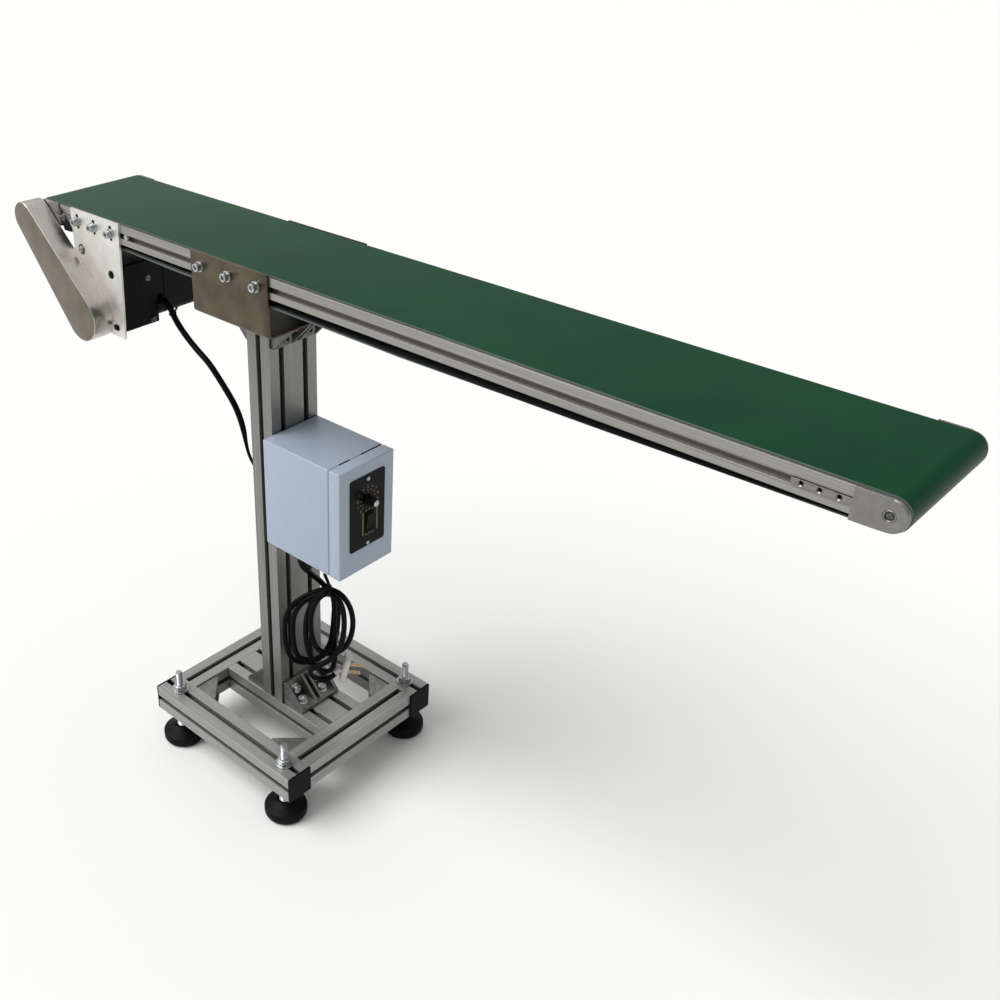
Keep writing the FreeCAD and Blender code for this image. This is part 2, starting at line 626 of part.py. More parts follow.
def loop_sketch(sketch, radius):
    """A loop about both axles with the given radius and a slack lower strand."""
    half_span = "((Size.head_reach + Size.tail_reach) / 2)"
    swing = f"(({half_span} * {half_span} + Size.belt_sag * Size.belt_sag) / (2 * Size.belt_sag))"
    low_radius = f"({swing} + {radius})"
    r = number(radius)
    span = number(half_span)
    big = number(swing)
    level = number(AXLE_Z)
    head = V(number(HEAD_X), level, 0)
    tail = V(number(TAIL_X), level, 0)
    middle = V((head.x + tail.x) / 2, level + math.sqrt(big ** 2 - span ** 2), 0)
    lean = math.asin(span / big)
    down = -math.pi / 2
    up = V(0, 0, 1)
    sketch.addGeometry(Part.LineSegment(tail + V(0, r, 0), head + V(0, r, 0)))
    sketch.addGeometry(Part.ArcOfCircle(Part.Circle(head, up, r), math.pi / 2,
                                        3 * math.pi / 2 - lean))
    sketch.addGeometry(Part.ArcOfCircle(Part.Circle(middle, up, big + r), down - lean,
                                        down + lean))
    sketch.addGeometry(Part.ArcOfCircle(Part.Circle(tail, up, r), down + lean, math.pi / 2))
    add = sketch.addConstraint
    add(Sketcher.Constraint("Tangent", 0, 2, 1, 1))
    add(Sketcher.Constraint("Tangent", 1, 2, 2, 1))
    add(Sketcher.Constraint("Tangent", 2, 2, 3, 1))
    add(Sketcher.Constraint("Tangent", 3, 2, 0, 1))
    bind(sketch, Sketcher.Constraint("DistanceX", -1, 1, 1, 3, head.x), HEAD_X)
    bind(sketch, Sketcher.Constraint("DistanceY", -1, 1, 1, 3, level), AXLE_Z)
    bind(sketch, Sketcher.Constraint("DistanceX", -1, 1, 3, 3, tail.x), TAIL_X)
    bind(sketch, Sketcher.Constraint("Radius", 1, r), radius)
    bind(sketch, Sketcher.Constraint("Radius", 3, r), radius)
    bind(sketch, Sketcher.Constraint("Radius", 2, big + r), low_radius)


def rollers():
    """Driven roller on its own shaft at the head, idler on a fixed axle at the tail."""
    face = "(Size.belt_width / 2 + Size.block_gap - Size.roller_end_gap)"
    skin = "(Size.roller_radius - Size.running_gap)"
    body = new_body("drive_roller")
    sketch = new_sketch(body, "drive_roller_section", "XY")
    near_end = f"-({PLATE_FACE} + Size.cover_depth / 2)"
    far_end = BLOCK_FACE
    outline(sketch, [("0", near_end), ("Size.shaft_radius", near_end),
                     ("Size.shaft_radius", f"-{face}"), (skin, f"-{face}"), (skin, face),
                     ("Size.shaft_radius", face), ("Size.shaft_radius", far_end),
                     ("0", far_end)])
    revolve(body, sketch, "V_Axis")
    keep(place(body, HEAD_X, "0", AXLE_Z))
    body = new_body("tail_roller")
    sketch = new_sketch(body, "tail_roller_section", "XY")
    bore = "(Size.axle_radius + Size.running_gap)"
    rectangle(sketch, bore, skin, f"-{face}", face)
    revolve(body, sketch, "V_Axis")
    keep(place(body, TAIL_X, "0", AXLE_Z))
    axle_face = f"({BLOCK_FACE} - Size.axle_recess)"
    axle = rod("tail_axle", "Size.axle_radius", f"2 * {axle_face}", TAIL_X, axle_face, AXLE_Z,
               (1, 0, 0), 90)
    axle.Label = "tail_axle"
    keep(axle)


# Drive: head plate, cover, gearbox and motor


def head_plate():
    """Tapered plate under the head that carries the gearbox and the drive cover."""
    body = new_body("head_plate")
    sketch = new_sketch(body, "head_plate_side", "XZ", RAIL_FACE)
    top = BELT_TOP
    bottom = f"({BELT_TOP} - Size.head_plate_height)"
    left, right, foot_left, foot_right = [
        f"({HEAD_X} + Size.head_plate_{edge})" for edge in ("left", "right", "foot_left",
                                                            "foot_right")]
    outline(sketch, [(left, top), (left, f"{top} - Size.head_plate_side"), (foot_left, bottom),
                     (foot_right, bottom), (right, top)])
    pad(body, sketch, "Size.plate_thickness")
    slots = new_sketch(body, "head_plate_slots", "XZ", RAIL_FACE)
    for i in range(3):
        x = f"({HEAD_X} + Size.head_slot_first + {i} * Size.head_slot_pitch)"
        low, high = [f"{SLOT_Z} {s} Size.head_slot_travel / 2" for s in "-+"]
        hull(slots, (x, low, "Size.head_slot_radius"), (x, high, "Size.head_slot_radius"))
    circle(slots, f"{HEAD_X} + Size.head_hole_inset", f"{AXLE_Z} - Size.head_hole_drop",
           "Size.head_hole_radius")
    pocket(body, slots, "2 * Size.plate_thickness", middle=True)
    keep(body)


def drive_cover():
    """Open-backed sheet cover round both pulleys, and the plate that closes its back."""
    head = (f"{HEAD_X} - Size.cover_head_inset", f"{AXLE_Z} - Size.cover_head_drop")
    motor = (f"{HEAD_X} + Size.cover_motor_inset", f"{AXLE_Z} - Size.cover_motor_drop")
    body = new_body("drive_cover")
    shell = new_sketch(body, "cover_outside", "XZ", PLATE_FACE)
    hull(shell, (*head, "Size.cover_head_radius"), (*motor, "Size.cover_motor_radius"))
    pad(body, shell, "Size.cover_depth")
    hollow = new_sketch(body, "cover_inside", "XZ", PLATE_FACE)
    hull(hollow, (*head, "Size.cover_head_radius - Size.cover_wall"),
         (*motor, "Size.cover_motor_radius - Size.cover_wall"))
    pocket(body, hollow, "Size.cover_depth - Size.cover_wall", reverse=True)
    keep(body)
    back = new_body("cover_back")
    plate = new_sketch(back, "cover_back_side", "XZ", PLATE_FACE)
    hull(plate, (*head, "Size.cover_head_radius - Size.cover_wall"),
         (*motor, "Size.cover_motor_radius - Size.cover_wall"))
    pad(back, plate, "Size.cover_back_thickness")
    bore = new_sketch(back, "cover_back_bore", "XZ")
    circle(bore, HEAD_X, AXLE_Z, "Size.shaft_radius + Size.cover_bore_gap")
    pocket(back, bore, "4 * Size.belt_width", middle=True)
    keep(back)


def drive_unit():
    """Square gearbox bolted behind the head plate, with the motor on its back."""
    for name, size, corner, start, length in (
            ("gearbox", "Size.gearbox_size", "Size.gearbox_corner", f"(-{RAIL_FACE})",
             "Size.gearbox_length"),
            ("motor", "Size.motor_size", "Size.motor_corner", MOTOR_START,
             "Size.motor_length")):
        body = new_body(name)
        sketch = new_sketch(body, f"{name}_section", "XZ", f"-{start}")
        half = f"{size} / 2"
        rectangle(sketch, f"{GEARBOX_X} - {half}", f"{GEARBOX_X} + {half}",
                  f"{GEARBOX_Z} - {half}", f"{GEARBOX_Z} + {half}")
        pad(body, sketch, length, reverse=True)
        round_edges(body, f"{name}_corners", corner,
                    lambda ends: abs(ends[0].y - ends[-1].y) > 1)
        keep(body)


# Control box


def control_box():
    """Hollow box on the column, open at the front, with a hinged lid."""
    half = "Size.box_width / 2"
    left, right = [f"({BOX_Y} {s} {half})" for s in "-+"]
    body = new_body("control_box")
    sketch = new_sketch(body, "box_outside", "YZ", COLUMN_FACE)
    rectangle(sketch, left, right, BOX_BOTTOM, BOX_TOP)
    pad(body, sketch, "Size.box_depth")
    hollow = new_sketch(body, "box_inside", "YZ", f"{COLUMN_FACE} + Size.box_wall")
    rectangle(hollow, f"{left} + Size.box_wall", f"{right} - Size.box_wall",
              f"{BOX_BOTTOM} + Size.box_wall", f"{BOX_TOP} - Size.box_wall")
    pocket(body, hollow, "Size.box_depth", reverse=True)
    keep(body)
    lid = new_body("box_lid")
    sketch = new_sketch(lid, "lid_outside", "YZ", f"{LID_BACK} + Size.lid_gap")
    rectangle(sketch, left, right, BOX_BOTTOM, BOX_TOP)
    pad(lid, sketch, "Size.lid_depth - Size.lid_gap")
    hollow = new_sketch(lid, "lid_inside", "YZ", f"{LID_BACK} + Size.lid_gap")
    rectangle(hollow, f"{left} + Size.box_wall", f"{right} - Size.box_wall",
              f"{BOX_BOTTOM} + Size.box_wall", f"{BOX_TOP} - Size.box_wall")
    pocket(lid, hollow, "Size.lid_depth - Size.lid_gap - Size.box_wall", reverse=True)
    round_edges(lid, "lid_edges", "Size.box_round",
                lambda ends: all(abs(p.x - number(LID_FRONT)) < 0.01 for p in ends))
    keep(lid)


def controls():
    """Speed panel on the lid with its knob and rocker switch, and the unit behind it."""
    body = new_body("speed_panel")
    sketch = new_sketch(body, "panel_outline", "YZ", LID_FRONT)
    half_width, half_height = "Size.panel_width / 2", "Size.panel_height / 2"
    rectangle(sketch, f"{BOX_Y} - {half_width}", f"{BOX_Y} + {half_width}",
              f"{PANEL_Z} - {half_height}", f"{PANEL_Z} + {half_height}")
    pad(body, sketch, "Size.panel_thickness")
    round_edges(body, "panel_corners", "Size.panel_round",
                lambda ends: abs(ends[0].x - ends[-1].x) > 1)
    keep(body)
    keep(block("speed_unit", ("Size.unit_depth", "Size.unit_width", "Size.unit_height"),
               (f"{LID_FRONT} - Size.box_wall - Size.unit_depth",
                f"{BOX_Y} - Size.unit_width / 2", f"{PANEL_Z} - Size.unit_height / 2")))
    knob = rod("speed_knob", "Size.knob_radius", "Size.knob_length", PANEL_FRONT, BOX_Y,
               f"{PANEL_Z} + Size.knob_rise", (0, 1, 0), 90)
    keep(knob)
    keep(block("rocker_switch", ("Size.rocker_rise", "Size.rocker_width", "Size.rocker_height"),
               (PANEL_FRONT, f"{BOX_Y} + Size.rocker_shift - Size.rocker_width / 2",
                f"{PANEL_Z} - Size.rocker_drop - Size.rocker_height / 2")))


# Leads: motor lead into the box, mains lead with its coil and plug

# The coil, its tail and the plug hang in one upright plane, turned about Z.
HANK_TURN = 47
HANK_CENTRE = V(number(f"{COLUMN_FACE} + Size.hank_reach"), number(f"{BOX_Y} - Size.hank_shift"),
                number(f"{BOX_BOTTOM} - Size.hank_drop"))

# Routes in millimetres. The sleeve's is measured from the motor's gland, along X and down,
# and is stretched to end where the motor lead starts. The motor lead's is measured from the
# column's centre line and up from the box's bottom, and those of the mains lead in the
# plane of the coil, along it and up from its centre.
SLEEVE_ROUTE = ((0, 0), (7, 0), (14, 2.5), (20, 8), (29, 20), (44, 36.5), (64, 52.5),
                (88, 64.5), (114, 87.5), (139, 112), (151.5, 139), (156, 166))
MOTOR_LEAD_ROUTE = ((-66, -10, 91.5), (-60, -9, 74.5), (-50, -4, 56.5), (-42, 10, 40.5),
                    (-35, 31, 31.5), (-21, 51, 26.5), (3, 62, 26.5), (27, 69, 32.5),
                    (45, 71, 43.5), (56, 68, 55.5), (61.5, 59.5, 64.5), (61.5, 47.5, 64.5))
MAINS_ROUTE = ((-22, 121.5), (-22, 111), (-17, 100), (-5, 90), (8, 75.5), (15, 63), (18, 52))
TAIL_ROUTE = ((-12.5, -52.9), (-11.4, -63.8), (-8.9, -75.5), (-5.8, -85), (0.7, -90.5),
              (9.2, -91.7), (17, -88.5), (22.5, -82))
PLUG_CENTRE = (35.6, -72.1)
PLUG_LEAN = 12
PLUG_NECK_LEAN = 40


def hank(u, v):
    """A point of the coil's plane."""
    turn = FreeCAD.Rotation(V(0, 0, 1), HANK_TURN)
    return HANK_CENTRE + turn.multVec(V(u, 0, v))


def tube(name, radius, points):
    """A six-sided tube along straight runs joined by tangent arcs."""
    size = number(radius)
    edges = []
    radii = []
    last = points[0]
    for before, corner, after in zip(points, points[1:], points[2:]):
        run_in = corner - before
        run_out = after - corner
        reach = 0.45 * min(run_in.Length, run_out.Length)
        half_turn = run_in.getAngle(run_out) / 2
        run_in.normalize()
        run_out.normalize()
        bend = reach / math.tan(half_turn)
        inward = run_out - run_in
        inward.normalize()
        start = corner - run_in * reach
        end = corner + run_out * reach
        middle = corner + inward * (bend / math.cos(half_turn) - bend)
        edges.append(Part.LineSegment(last, start).toShape())
        edges.append(Part.Arc(start, middle, end).toShape())
        radii.append(round(bend, 1))
        last = end
    edges.append(Part.LineSegment(last, points[-1]).toShape())
    path = Part.Wire(edges)
    heading = points[1] - points[0]
    heading.normalize()
    across = heading.cross(V(0.3, 1, 0.2))
    across.normalize()
    corners = []
    for i in range(6):
        corners.append(points[0] + FreeCAD.Rotation(heading, 60 * i).multVec(across * size))
    section = Part.makePolygon(corners + [corners[0]])
    item = doc.addObject("Part::Feature", name)
    item.Shape = path.makePipeShell([section], True, False)
    wanted = Part.Face(section).Area * path.Length
    if abs(item.Shape.Volume - wanted) > 0.01 * wanted:
        raise RuntimeError(f"{name} has volume {item.Shape.Volume:.0f}, not {wanted:.0f}")
    print(name, "length", round(path.Length), "radii", radii)
    return item


def glands():
    """Hexagon glands on the motor's side, under the box and on the box's far side."""
    keep(hexagon("motor_gland", "Size.gland_radius", "Size.motor_gland_length",
                 f"{GEARBOX_X} + Size.motor_size / 2", f"{MOTOR_START} + Size.motor_gland_inset",
                 f"{GEARBOX_Z} - Size.motor_gland_drop", (0, 1, 0), 90))
    keep(hexagon("box_gland", "Size.gland_radius", "Size.box_gland_length",
                 f"{COLUMN_FACE} + Size.box_gland_reach", f"{BOX_Y} + Size.box_width / 2",
                 f"{BOX_BOTTOM} + Size.box_gland_rise", (1, 0, 0), -90))
    keep(hexagon("mains_gland", "Size.gland_radius", "Size.mains_gland_length",
                 f"{COLUMN_FACE} + Size.mains_gland_reach", f"{BOX_Y} - Size.mains_gland_shift",
                 BOX_BOTTOM, (1, 0, 0), 180))


def leads():
    """The motor lead in its sleeve, and the mains lead above and below its coil."""
    rise = number(BOX_BOTTOM)
    lead_points = [V(x, y, z + rise) for x, y, z in MOTOR_LEAD_ROUTE]
    start = V(number(f"{GEARBOX_X} + Size.motor_size / 2 + Size.motor_gland_length"),
              number(f"{MOTOR_START} + Size.motor_gland_inset"),
              number(f"{GEARBOX_Z} - Size.motor_gland_drop"))
    end = lead_points[0]
    reach, drop = SLEEVE_ROUTE[-1]
    sleeve_points = [V(start.x + (end.x - start.x) * x / reach, start.y,
                       start.z + (end.z - start.z) * z / drop) for x, z in SLEEVE_ROUTE]
    sleeve = tube("lead_sleeve", "Size.sleeve_radius", sleeve_points)
    core = tube("lead_core", "Size.motor_lead_radius", lead_points)
    keep(group("motor_lead", [sleeve, core]))
    upper = tube("lead_upper", "Size.mains_radius", [hank(*point) for point in MAINS_ROUTE])
    tail = tube("lead_tail", "Size.mains_radius", [hank(*point) for point in TAIL_ROUTE])
    keep(group("mains_lead", [upper, tail]))


def lead_coil():
    """The outer shape of the coiled stretch of the mains lead."""
    body = new_body("lead_coil")
    for name, radius, cut in (("coil_outside", "Size.coil_radius", False),
                              ("coil_hole", "Size.coil_hole_radius", True)):
        sketch = new_sketch(body, name, "XZ")
        hull(sketch, ("0", "-Size.coil_straight / 2", radius),
             ("0", "Size.coil_straight / 2", radius))
        if cut:
            pocket(body, sketch, "2 * Size.coil_thickness", middle=True)
        else:
            pad(body, sketch, "Size.coil_thickness", middle=True)
    body.Placement = FreeCAD.Placement(HANK_CENTRE, FreeCAD.Rotation(V(0, 0, 1), HANK_TURN))
    keep(body)


def plug():
    """Flat two-pin plug at the end of the tail, with its angled neck."""
    upright = FreeCAD.Rotation(V(0, 0, 1), HANK_TURN)
    turn = upright.multiply(FreeCAD.Rotation(V(0, 1, 0), PLUG_LEAN))
    centre = hank(*PLUG_CENTRE)
    half = "Size.plug_thickness / 2"
    body = block("plug_body", ("Size.plug_thickness", "Size.plug_width", "Size.plug_height"))
    shift = V(-number(half), -number("Size.plug_width / 2"), -number("Size.plug_height / 2"))
    body.Placement = FreeCAD.Placement(centre + turn.multVec(shift), turn)
    neck_turn = upright.multiply(FreeCAD.Rotation(V(0, 1, 0), PLUG_NECK_LEAN))
    neck = doc.addObject("Part::Prism", "plug_neck")
    neck.Polygon = 6
    neck.setExpression("Circumradius", "Size.plug_neck_radius")
    neck.setExpression("Height", "Size.plug_neck_length")
    neck.Placement = FreeCAD.Placement(hank(*TAIL_ROUTE[-1]), neck_turn)
    keep(group("plug", [body, neck]))
    pins = []
    for i, side in enumerate((-1, 1)):
        pin = block(f"pin_{i}", ("Size.pin_length", "Size.pin_width", "Size.pin_thickness"))
        rise = side * number("Size.pin_pitch / 2") - number("Size.pin_thickness / 2")
        shift = V(number(half), -number("Size.pin_width / 2"), rise)
        pin.Placement = FreeCAD.Placement(centre + turn.multVec(shift), turn)
        pins.append(pin)
    keep(group("plug_pins", pins))


STAND = (column, base_members, end_caps, feet, brackets)
FRAME = (saddle, rails, deck, end_blocks, belt, rollers)
DRIVE = (head_plate, drive_cover, drive_unit)
CONTROL = (control_box, controls)
LEADS = (glands, leads, lead_coil, plug)
for build in STAND + FRAME + DRIVE + CONTROL + LEADS:
    build()
doc.recompute()

for item in doc.Objects:
    if "Invalid" in item.State or "Error" in item.State:
        raise RuntimeError(f"{item.Label} failed: {item.State}")
for item in PARTS:
    if item.Shape.isNull() or not item.Shape.isValid():
        raise RuntimeError(f"{item.Label} has no valid shape")

os.makedirs("parts", exist_ok=True)
for item in PARTS:
    item.Shape.exportStep(f"parts/{item.Label}.step")
print(len(PARTS), "sub-parts written")
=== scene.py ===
import bmesh
import bpy
import json
import math
from mathutils import Matrix, Vector


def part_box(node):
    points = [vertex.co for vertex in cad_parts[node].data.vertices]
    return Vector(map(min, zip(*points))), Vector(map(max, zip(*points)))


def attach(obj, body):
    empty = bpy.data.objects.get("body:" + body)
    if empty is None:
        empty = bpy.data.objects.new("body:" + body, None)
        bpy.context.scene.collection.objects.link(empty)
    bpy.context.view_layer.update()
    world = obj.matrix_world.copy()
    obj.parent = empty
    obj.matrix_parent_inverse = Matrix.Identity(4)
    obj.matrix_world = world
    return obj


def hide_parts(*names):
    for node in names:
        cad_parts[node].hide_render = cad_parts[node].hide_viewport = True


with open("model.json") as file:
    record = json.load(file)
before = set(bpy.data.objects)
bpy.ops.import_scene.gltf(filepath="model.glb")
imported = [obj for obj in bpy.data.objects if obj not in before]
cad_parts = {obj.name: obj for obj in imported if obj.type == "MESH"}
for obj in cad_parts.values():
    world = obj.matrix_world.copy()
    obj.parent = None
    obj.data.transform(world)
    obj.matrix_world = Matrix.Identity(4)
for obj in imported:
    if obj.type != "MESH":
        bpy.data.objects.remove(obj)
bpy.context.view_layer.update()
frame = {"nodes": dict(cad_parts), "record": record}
MM = 0.001


# Levelling feet
# Each foot is a moulded nylon pad on a zinc-plated stud. The stud's thick thread reaches up
# to the base, and a washer and nut on top lock it in the slot of the base profile.
FOOT_PLACES = [(x, y, 0) for x in (-112, 112) for y in (-122.5, 122.5)]
PAD_PROFILE = (
    # radius, height in mm
    (0, 0), (25.5, 0), (27.4, 0.9), (29.6, 4.6), (30, 6.4), (30, 14.4), (29.4, 16.2),
    (27.6, 17.6), (24.6, 18.6), (15.4, 23.6), (13.6, 25.2), (12, 26), (0, 26))
STUD_WASHER = ((0, 90), (12.2, 90), (12.4, 90.3), (12.4, 91.5), (12.1, 91.8), (0, 91.8))
NUT_WIDTH, NUT_BOTTOM, NUT_TOP = 17, 91.8, 99.6
NUT_CHAMFER = 0.08
STUD_THREADS = (
    # radius, pitch, bottom, top in mm
    (9, 3, 25, 50), (5, 1.5, 99, 122.6))
THREAD_DEPTH, THREAD_END = 0.5, 0.5
FINE_STEPS, SMOOTH_ANGLE = 56, 30
NYLON_BLACK, NYLON_WORN = "#050506", "#0B0C0D"
ZINC_LIGHT, ZINC_DARK = "#C6C9C9", "#8E9294"


def linear(colour):
    """The linear colour of an sRGB hex value."""
    channels = []
    for i in (1, 3, 5):
        value = int(colour[i:i + 2], 16) / 255
        channels.append(value / 12.92 if value <= 0.04045 else ((value + 0.055) / 1.055) ** 2.4)
    return (*channels, 1.0)


def wire(tree, item, inputs):
    """Sets a node's inputs. A pair (node, output) is linked, anything else is a value."""
    for name, value in inputs.items():
        if isinstance(value, tuple) and isinstance(value[0], bpy.types.Node):
            tree.links.new(value[0].outputs[value[1]], item.inputs[name])
        else:
            item.inputs[name].default_value = value


def add(tree, kind, inputs=None, **settings):
    """Adds a node to the tree, with its settings and its inputs."""
    item = tree.nodes.new(kind)
    for name, value in settings.items():
        setattr(item, name, value)
    wire(tree, item, inputs or {})
    return item


def new_finish(name):
    """A new material, its node tree, its shader and the frame's coordinates, as an output."""
    finish = bpy.data.materials.new(name)
    finish.use_nodes = True
    tree = finish.node_tree
    place = (add(tree, "ShaderNodeTexCoord"), "Object")
    return finish, tree, tree.nodes["Principled BSDF"], place


# Each of the next helpers adds one node and gives its output, as a pair (node, output).
def two_tones(tree, factor, dark, light, low=0.35, high=0.65):
    """A ramp from one hex colour to another as the factor goes from low to high."""
    ramp = add(tree, "ShaderNodeValToRGB", {"Fac": factor})
    for element, place, colour in zip(ramp.color_ramp.elements, (low, high), (dark, light)):
        element.position = place
        element.color = linear(colour)
    return ramp, "Color"


def noise(tree, vector, size, detail):
    """A noise whose grains are so many millimetres wide."""
    return add(tree, "ShaderNodeTexNoise", {"Vector": vector, "Scale": 1 / (size * MM),
                                            "Detail": detail}), "Fac"


def stretched(tree, place, scale):
    """The coordinates of the frame, scaled along each axis."""
    return add(tree, "ShaderNodeMapping", {"Vector": place, "Scale": scale}), "Vector"


def remap(tree, value, low=0.0, high=1.0, from_low=0.0, from_high=1.0, **settings):
    """A value brought from one range to another."""
    inputs = {"Value": value, "From Min": from_low, "From Max": from_high, "To Min": low,
              "To Max": high}
    return add(tree, "ShaderNodeMapRange", inputs, **settings), "Result"


def maths(tree, operation, first, second=0.5, third=0.5):
    """A sum, product or other operation on values."""
    inputs = {0: first, 1: second, 2: third}
    return add(tree, "ShaderNodeMath", inputs, operation=operation), "Value"


def bumps(tree, height, strength, depth):
    """Bumps so many millimetres deep where the height is 1."""
    return add(tree, "ShaderNodeBump", {"Height": height, "Strength": strength,
                                        "Distance": depth * MM}), "Normal"


def blend(tree, share, under, over):
    """A colour that goes from under to over as the share goes from 0 to 1."""
    inputs = {"Factor": share, 6: under, 7: over}
    return add(tree, "ShaderNodeMix", inputs, data_type="RGBA"), 2


def moulded_plastic(name, dark, light, roughness, shine=0.14):
    """Moulded plastic: even colour, a fine spark-eroded grain and slightly uneven gloss."""
    finish, tree, shader, place = new_finish(name)
    cloud = noise(tree, place, 14, 3)
    grain = noise(tree, place, 0.9, 2)
    tone = two_tones(tree, cloud, dark, light)
    gloss = remap(tree, cloud, roughness - 0.06, roughness + 0.1)
    bump = bumps(tree, grain, 0.25, 0.05)
    wire(tree, shader, {"Base Color": tone, "Roughness": gloss, "Normal": bump, "IOR": 1.5,
                        "Specular IOR Level": shine})
    return finish


def plated_steel(name, dark, light):
    """Plated steel: a silvery metal, its gloss broken by small dull patches."""
    finish, tree, shader, place = new_finish(name)
    patches = noise(tree, place, 3, 4)
    tone = two_tones(tree, patches, dark, light)
    gloss = remap(tree, patches, 0.26, 0.46)
    wire(tree, shader, {"Base Color": tone, "Roughness": gloss, "Metallic": 1.0})
    return finish


def new_piece(name, mesh, finish, body="frame"):
    """A piece of the object: its mesh, smooth but for sharp edges, its finish and body."""
    piece = bpy.data.objects.new(name, mesh)
    bpy.context.collection.objects.link(piece)
    mesh.materials.clear()
    mesh.materials.append(finish)
    mesh.shade_smooth()
    mesh.set_sharp_from_angle(angle=math.radians(SMOOTH_ANGLE))
    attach(piece, body)
    return piece


def mesh_from(edit, name):
    """A new mesh with the shape that was edited."""
    mesh = bpy.data.meshes.new(name)
    edit.to_mesh(mesh)
    edit.free()
    return mesh


def skinned(name, stacks, looped=False):
    """A mesh of closed skins, each over a stack of rings of points in millimetres."""
    edit = bmesh.new()
    for rings in stacks:
        made = [[edit.verts.new(Vector(point) * MM) for point in ring] for ring in rings]
        for low, high in zip(made, made[1:] + made[:1] if looped else made[1:]):
            steps = max(len(low), len(high))
            for i in range(steps):
                j = (i + 1) % steps
                corners = [low[i % len(low)], low[j % len(low)],
                           high[j % len(high)], high[i % len(high)]]
                edit.faces.new(list(dict.fromkeys(corners)))
        for end in () if looped else (made[0], made[-1]):
            if len(end) > 1:
                edit.faces.new(end)
    bmesh.ops.recalc_face_normals(edit, faces=edit.faces)
    return mesh_from(edit, name)


def turned(name, profile, places, steps=40, flute=0.0, looped=False):
    """A mesh of one turned profile, in millimetres, at each (point, axis) of places.

    Flute is the share of the radius by which every other step is drawn in. A looped profile
    closes on itself, as a ring's does.
    """
    stacks = []
    for point, axis in places:
        turn = Vector(axis).to_track_quat("Z", "Y").to_matrix()
        rings = []
        for radius, height in profile:
            ring = []
            for i in range(steps if radius else 1):
                angle = math.tau * i / steps
                reach = radius * (1 - flute * (i % 2))
                corner = Vector((reach * math.cos(angle), reach * math.sin(angle), height))
                ring.append(Vector(point) + turn @ corner)
            rings.append(ring)
        stacks.append(rings)
    return skinned(name, stacks, looped)


def joined(name, meshes):
    """One mesh of several."""
    edit = bmesh.new()
    for mesh in meshes:
        edit.from_mesh(mesh)
    return mesh_from(edit, name)


def hexagon_nuts(name, width, bottom, top, places):
    """A mesh of hexagon nuts, so wide across the flats, with chamfered ends."""
    corner = width / math.sqrt(3)
    chamfer = NUT_CHAMFER * width
    profile = ((0, bottom), (corner - chamfer, bottom), (corner, bottom + chamfer / 2),
               (corner, top - chamfer / 2), (corner - chamfer, top), (0, top))
    return turned(name, profile, places, steps=6)


nylon = moulded_plastic("moulded_black_nylon", NYLON_BLACK, NYLON_WORN, 0.5, 0.1)
zinc = plated_steel("bright_zinc_plate", ZINC_DARK, ZINC_LIGHT)
upright_feet = [(place, (0, 0, 1)) for place in FOOT_PLACES]

pads = new_piece("levelling_pads", turned("pads", PAD_PROFILE, upright_feet, FINE_STEPS), nylon)
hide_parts("foot_pads")

stud_meshes = [hexagon_nuts("nuts", NUT_WIDTH, NUT_BOTTOM, NUT_TOP, upright_feet),
               turned("washers", STUD_WASHER, upright_feet)]
for radius, pitch, bottom, top in STUD_THREADS:
    core = radius - THREAD_DEPTH * pitch
    thread = [(0, bottom)]
    for i in range(int((top - bottom) / pitch)):
        thread.append((core, bottom + i * pitch))
        thread.append((radius, bottom + (i + 0.5) * pitch))
    thread += [(core, top - THREAD_END), (core - THREAD_END, top), (0, top)]
    stud_meshes.append(turned("threads", thread, upright_feet, steps=28))
studs = new_piece("levelling_studs", joined("studs", stud_meshes), zinc)
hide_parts("foot_studs")


# Base and column
# Five lengths of 40 mm T-slot profile, extruded and clear anodised, sawn to length and
# held by brackets. Black caps close the ends of the two long sides.
SAWN_EDGE = 0.35
EDGE_ANGLE = 35
# The column's tones are darker than the base's: painted shade for the shadow the conveyor and box
# cast on it.
ALUMINIUM_TONES = (("#898986", "#A4A4A0"), ("#898986", "#A4A4A0"), ("#757571", "#8C8C88"))
SLOT_SHADE, SLOT_REACH, SLOT_EDGE = "#262628", 9, (0.3, 0.66)
DIE_LINE_STRETCH = 0.004


def anodised_aluminium(name, along, dark, light, deep, open_from):
    """Clear-anodised extrusion: satin metal with fine die lines, painted shade down in its slots.

    Deep and open_from are how open a spot is where the slot is darkest and where it ends.
    """
    finish, tree, shader, place = new_finish(name)
    stretch = [1.0, 1.0, 1.0]
    stretch[along] = DIE_LINE_STRETCH
    drawn = stretched(tree, place, stretch)
    lines = noise(tree, drawn, 1.1, 3)
    handling = noise(tree, place, 60, 4)
    tone = two_tones(tree, lines, dark, light, 0.3, 0.7)
    gloss = remap(tree, handling, 0.3, 0.46)
    bump = bumps(tree, lines, 0.2, 0.05)
    # Painted shade: ambient occlusion darkens the colour towards the slot shade down in the slots.
    hollow = add(tree, "ShaderNodeAmbientOcclusion", {"Distance": SLOT_REACH * MM}, samples=8)
    depth = remap(tree, (hollow, "AO"), from_low=deep, from_high=open_from)
    shaded = blend(tree, depth, linear(SLOT_SHADE), tone)
    wire(tree, shader, {"Base Color": shaded, "Roughness": gloss, "Normal": bump,
                        "Metallic": 0.65})
    return finish


BODY_OF = {node: body for body, nodes in frame["record"]["behaviour"]["bodies"].items()
           for node in nodes}


def packed(node):
    """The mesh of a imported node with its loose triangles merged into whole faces."""
    source = frame["nodes"][node].data
    mesh = bpy.data.meshes.new(node)
    mesh.from_pydata([v.co for v in source.vertices], [], [p.vertices for p in source.polygons])
    edit = bmesh.new()
    edit.from_mesh(mesh)
    bmesh.ops.remove_doubles(edit, verts=edit.verts, dist=0.002 * MM)
    bmesh.ops.dissolve_limit(edit, angle_limit=math.radians(1), verts=edit.verts,
                             edges=edit.edges)
    edit.to_mesh(mesh)
    edit.free()
    return mesh


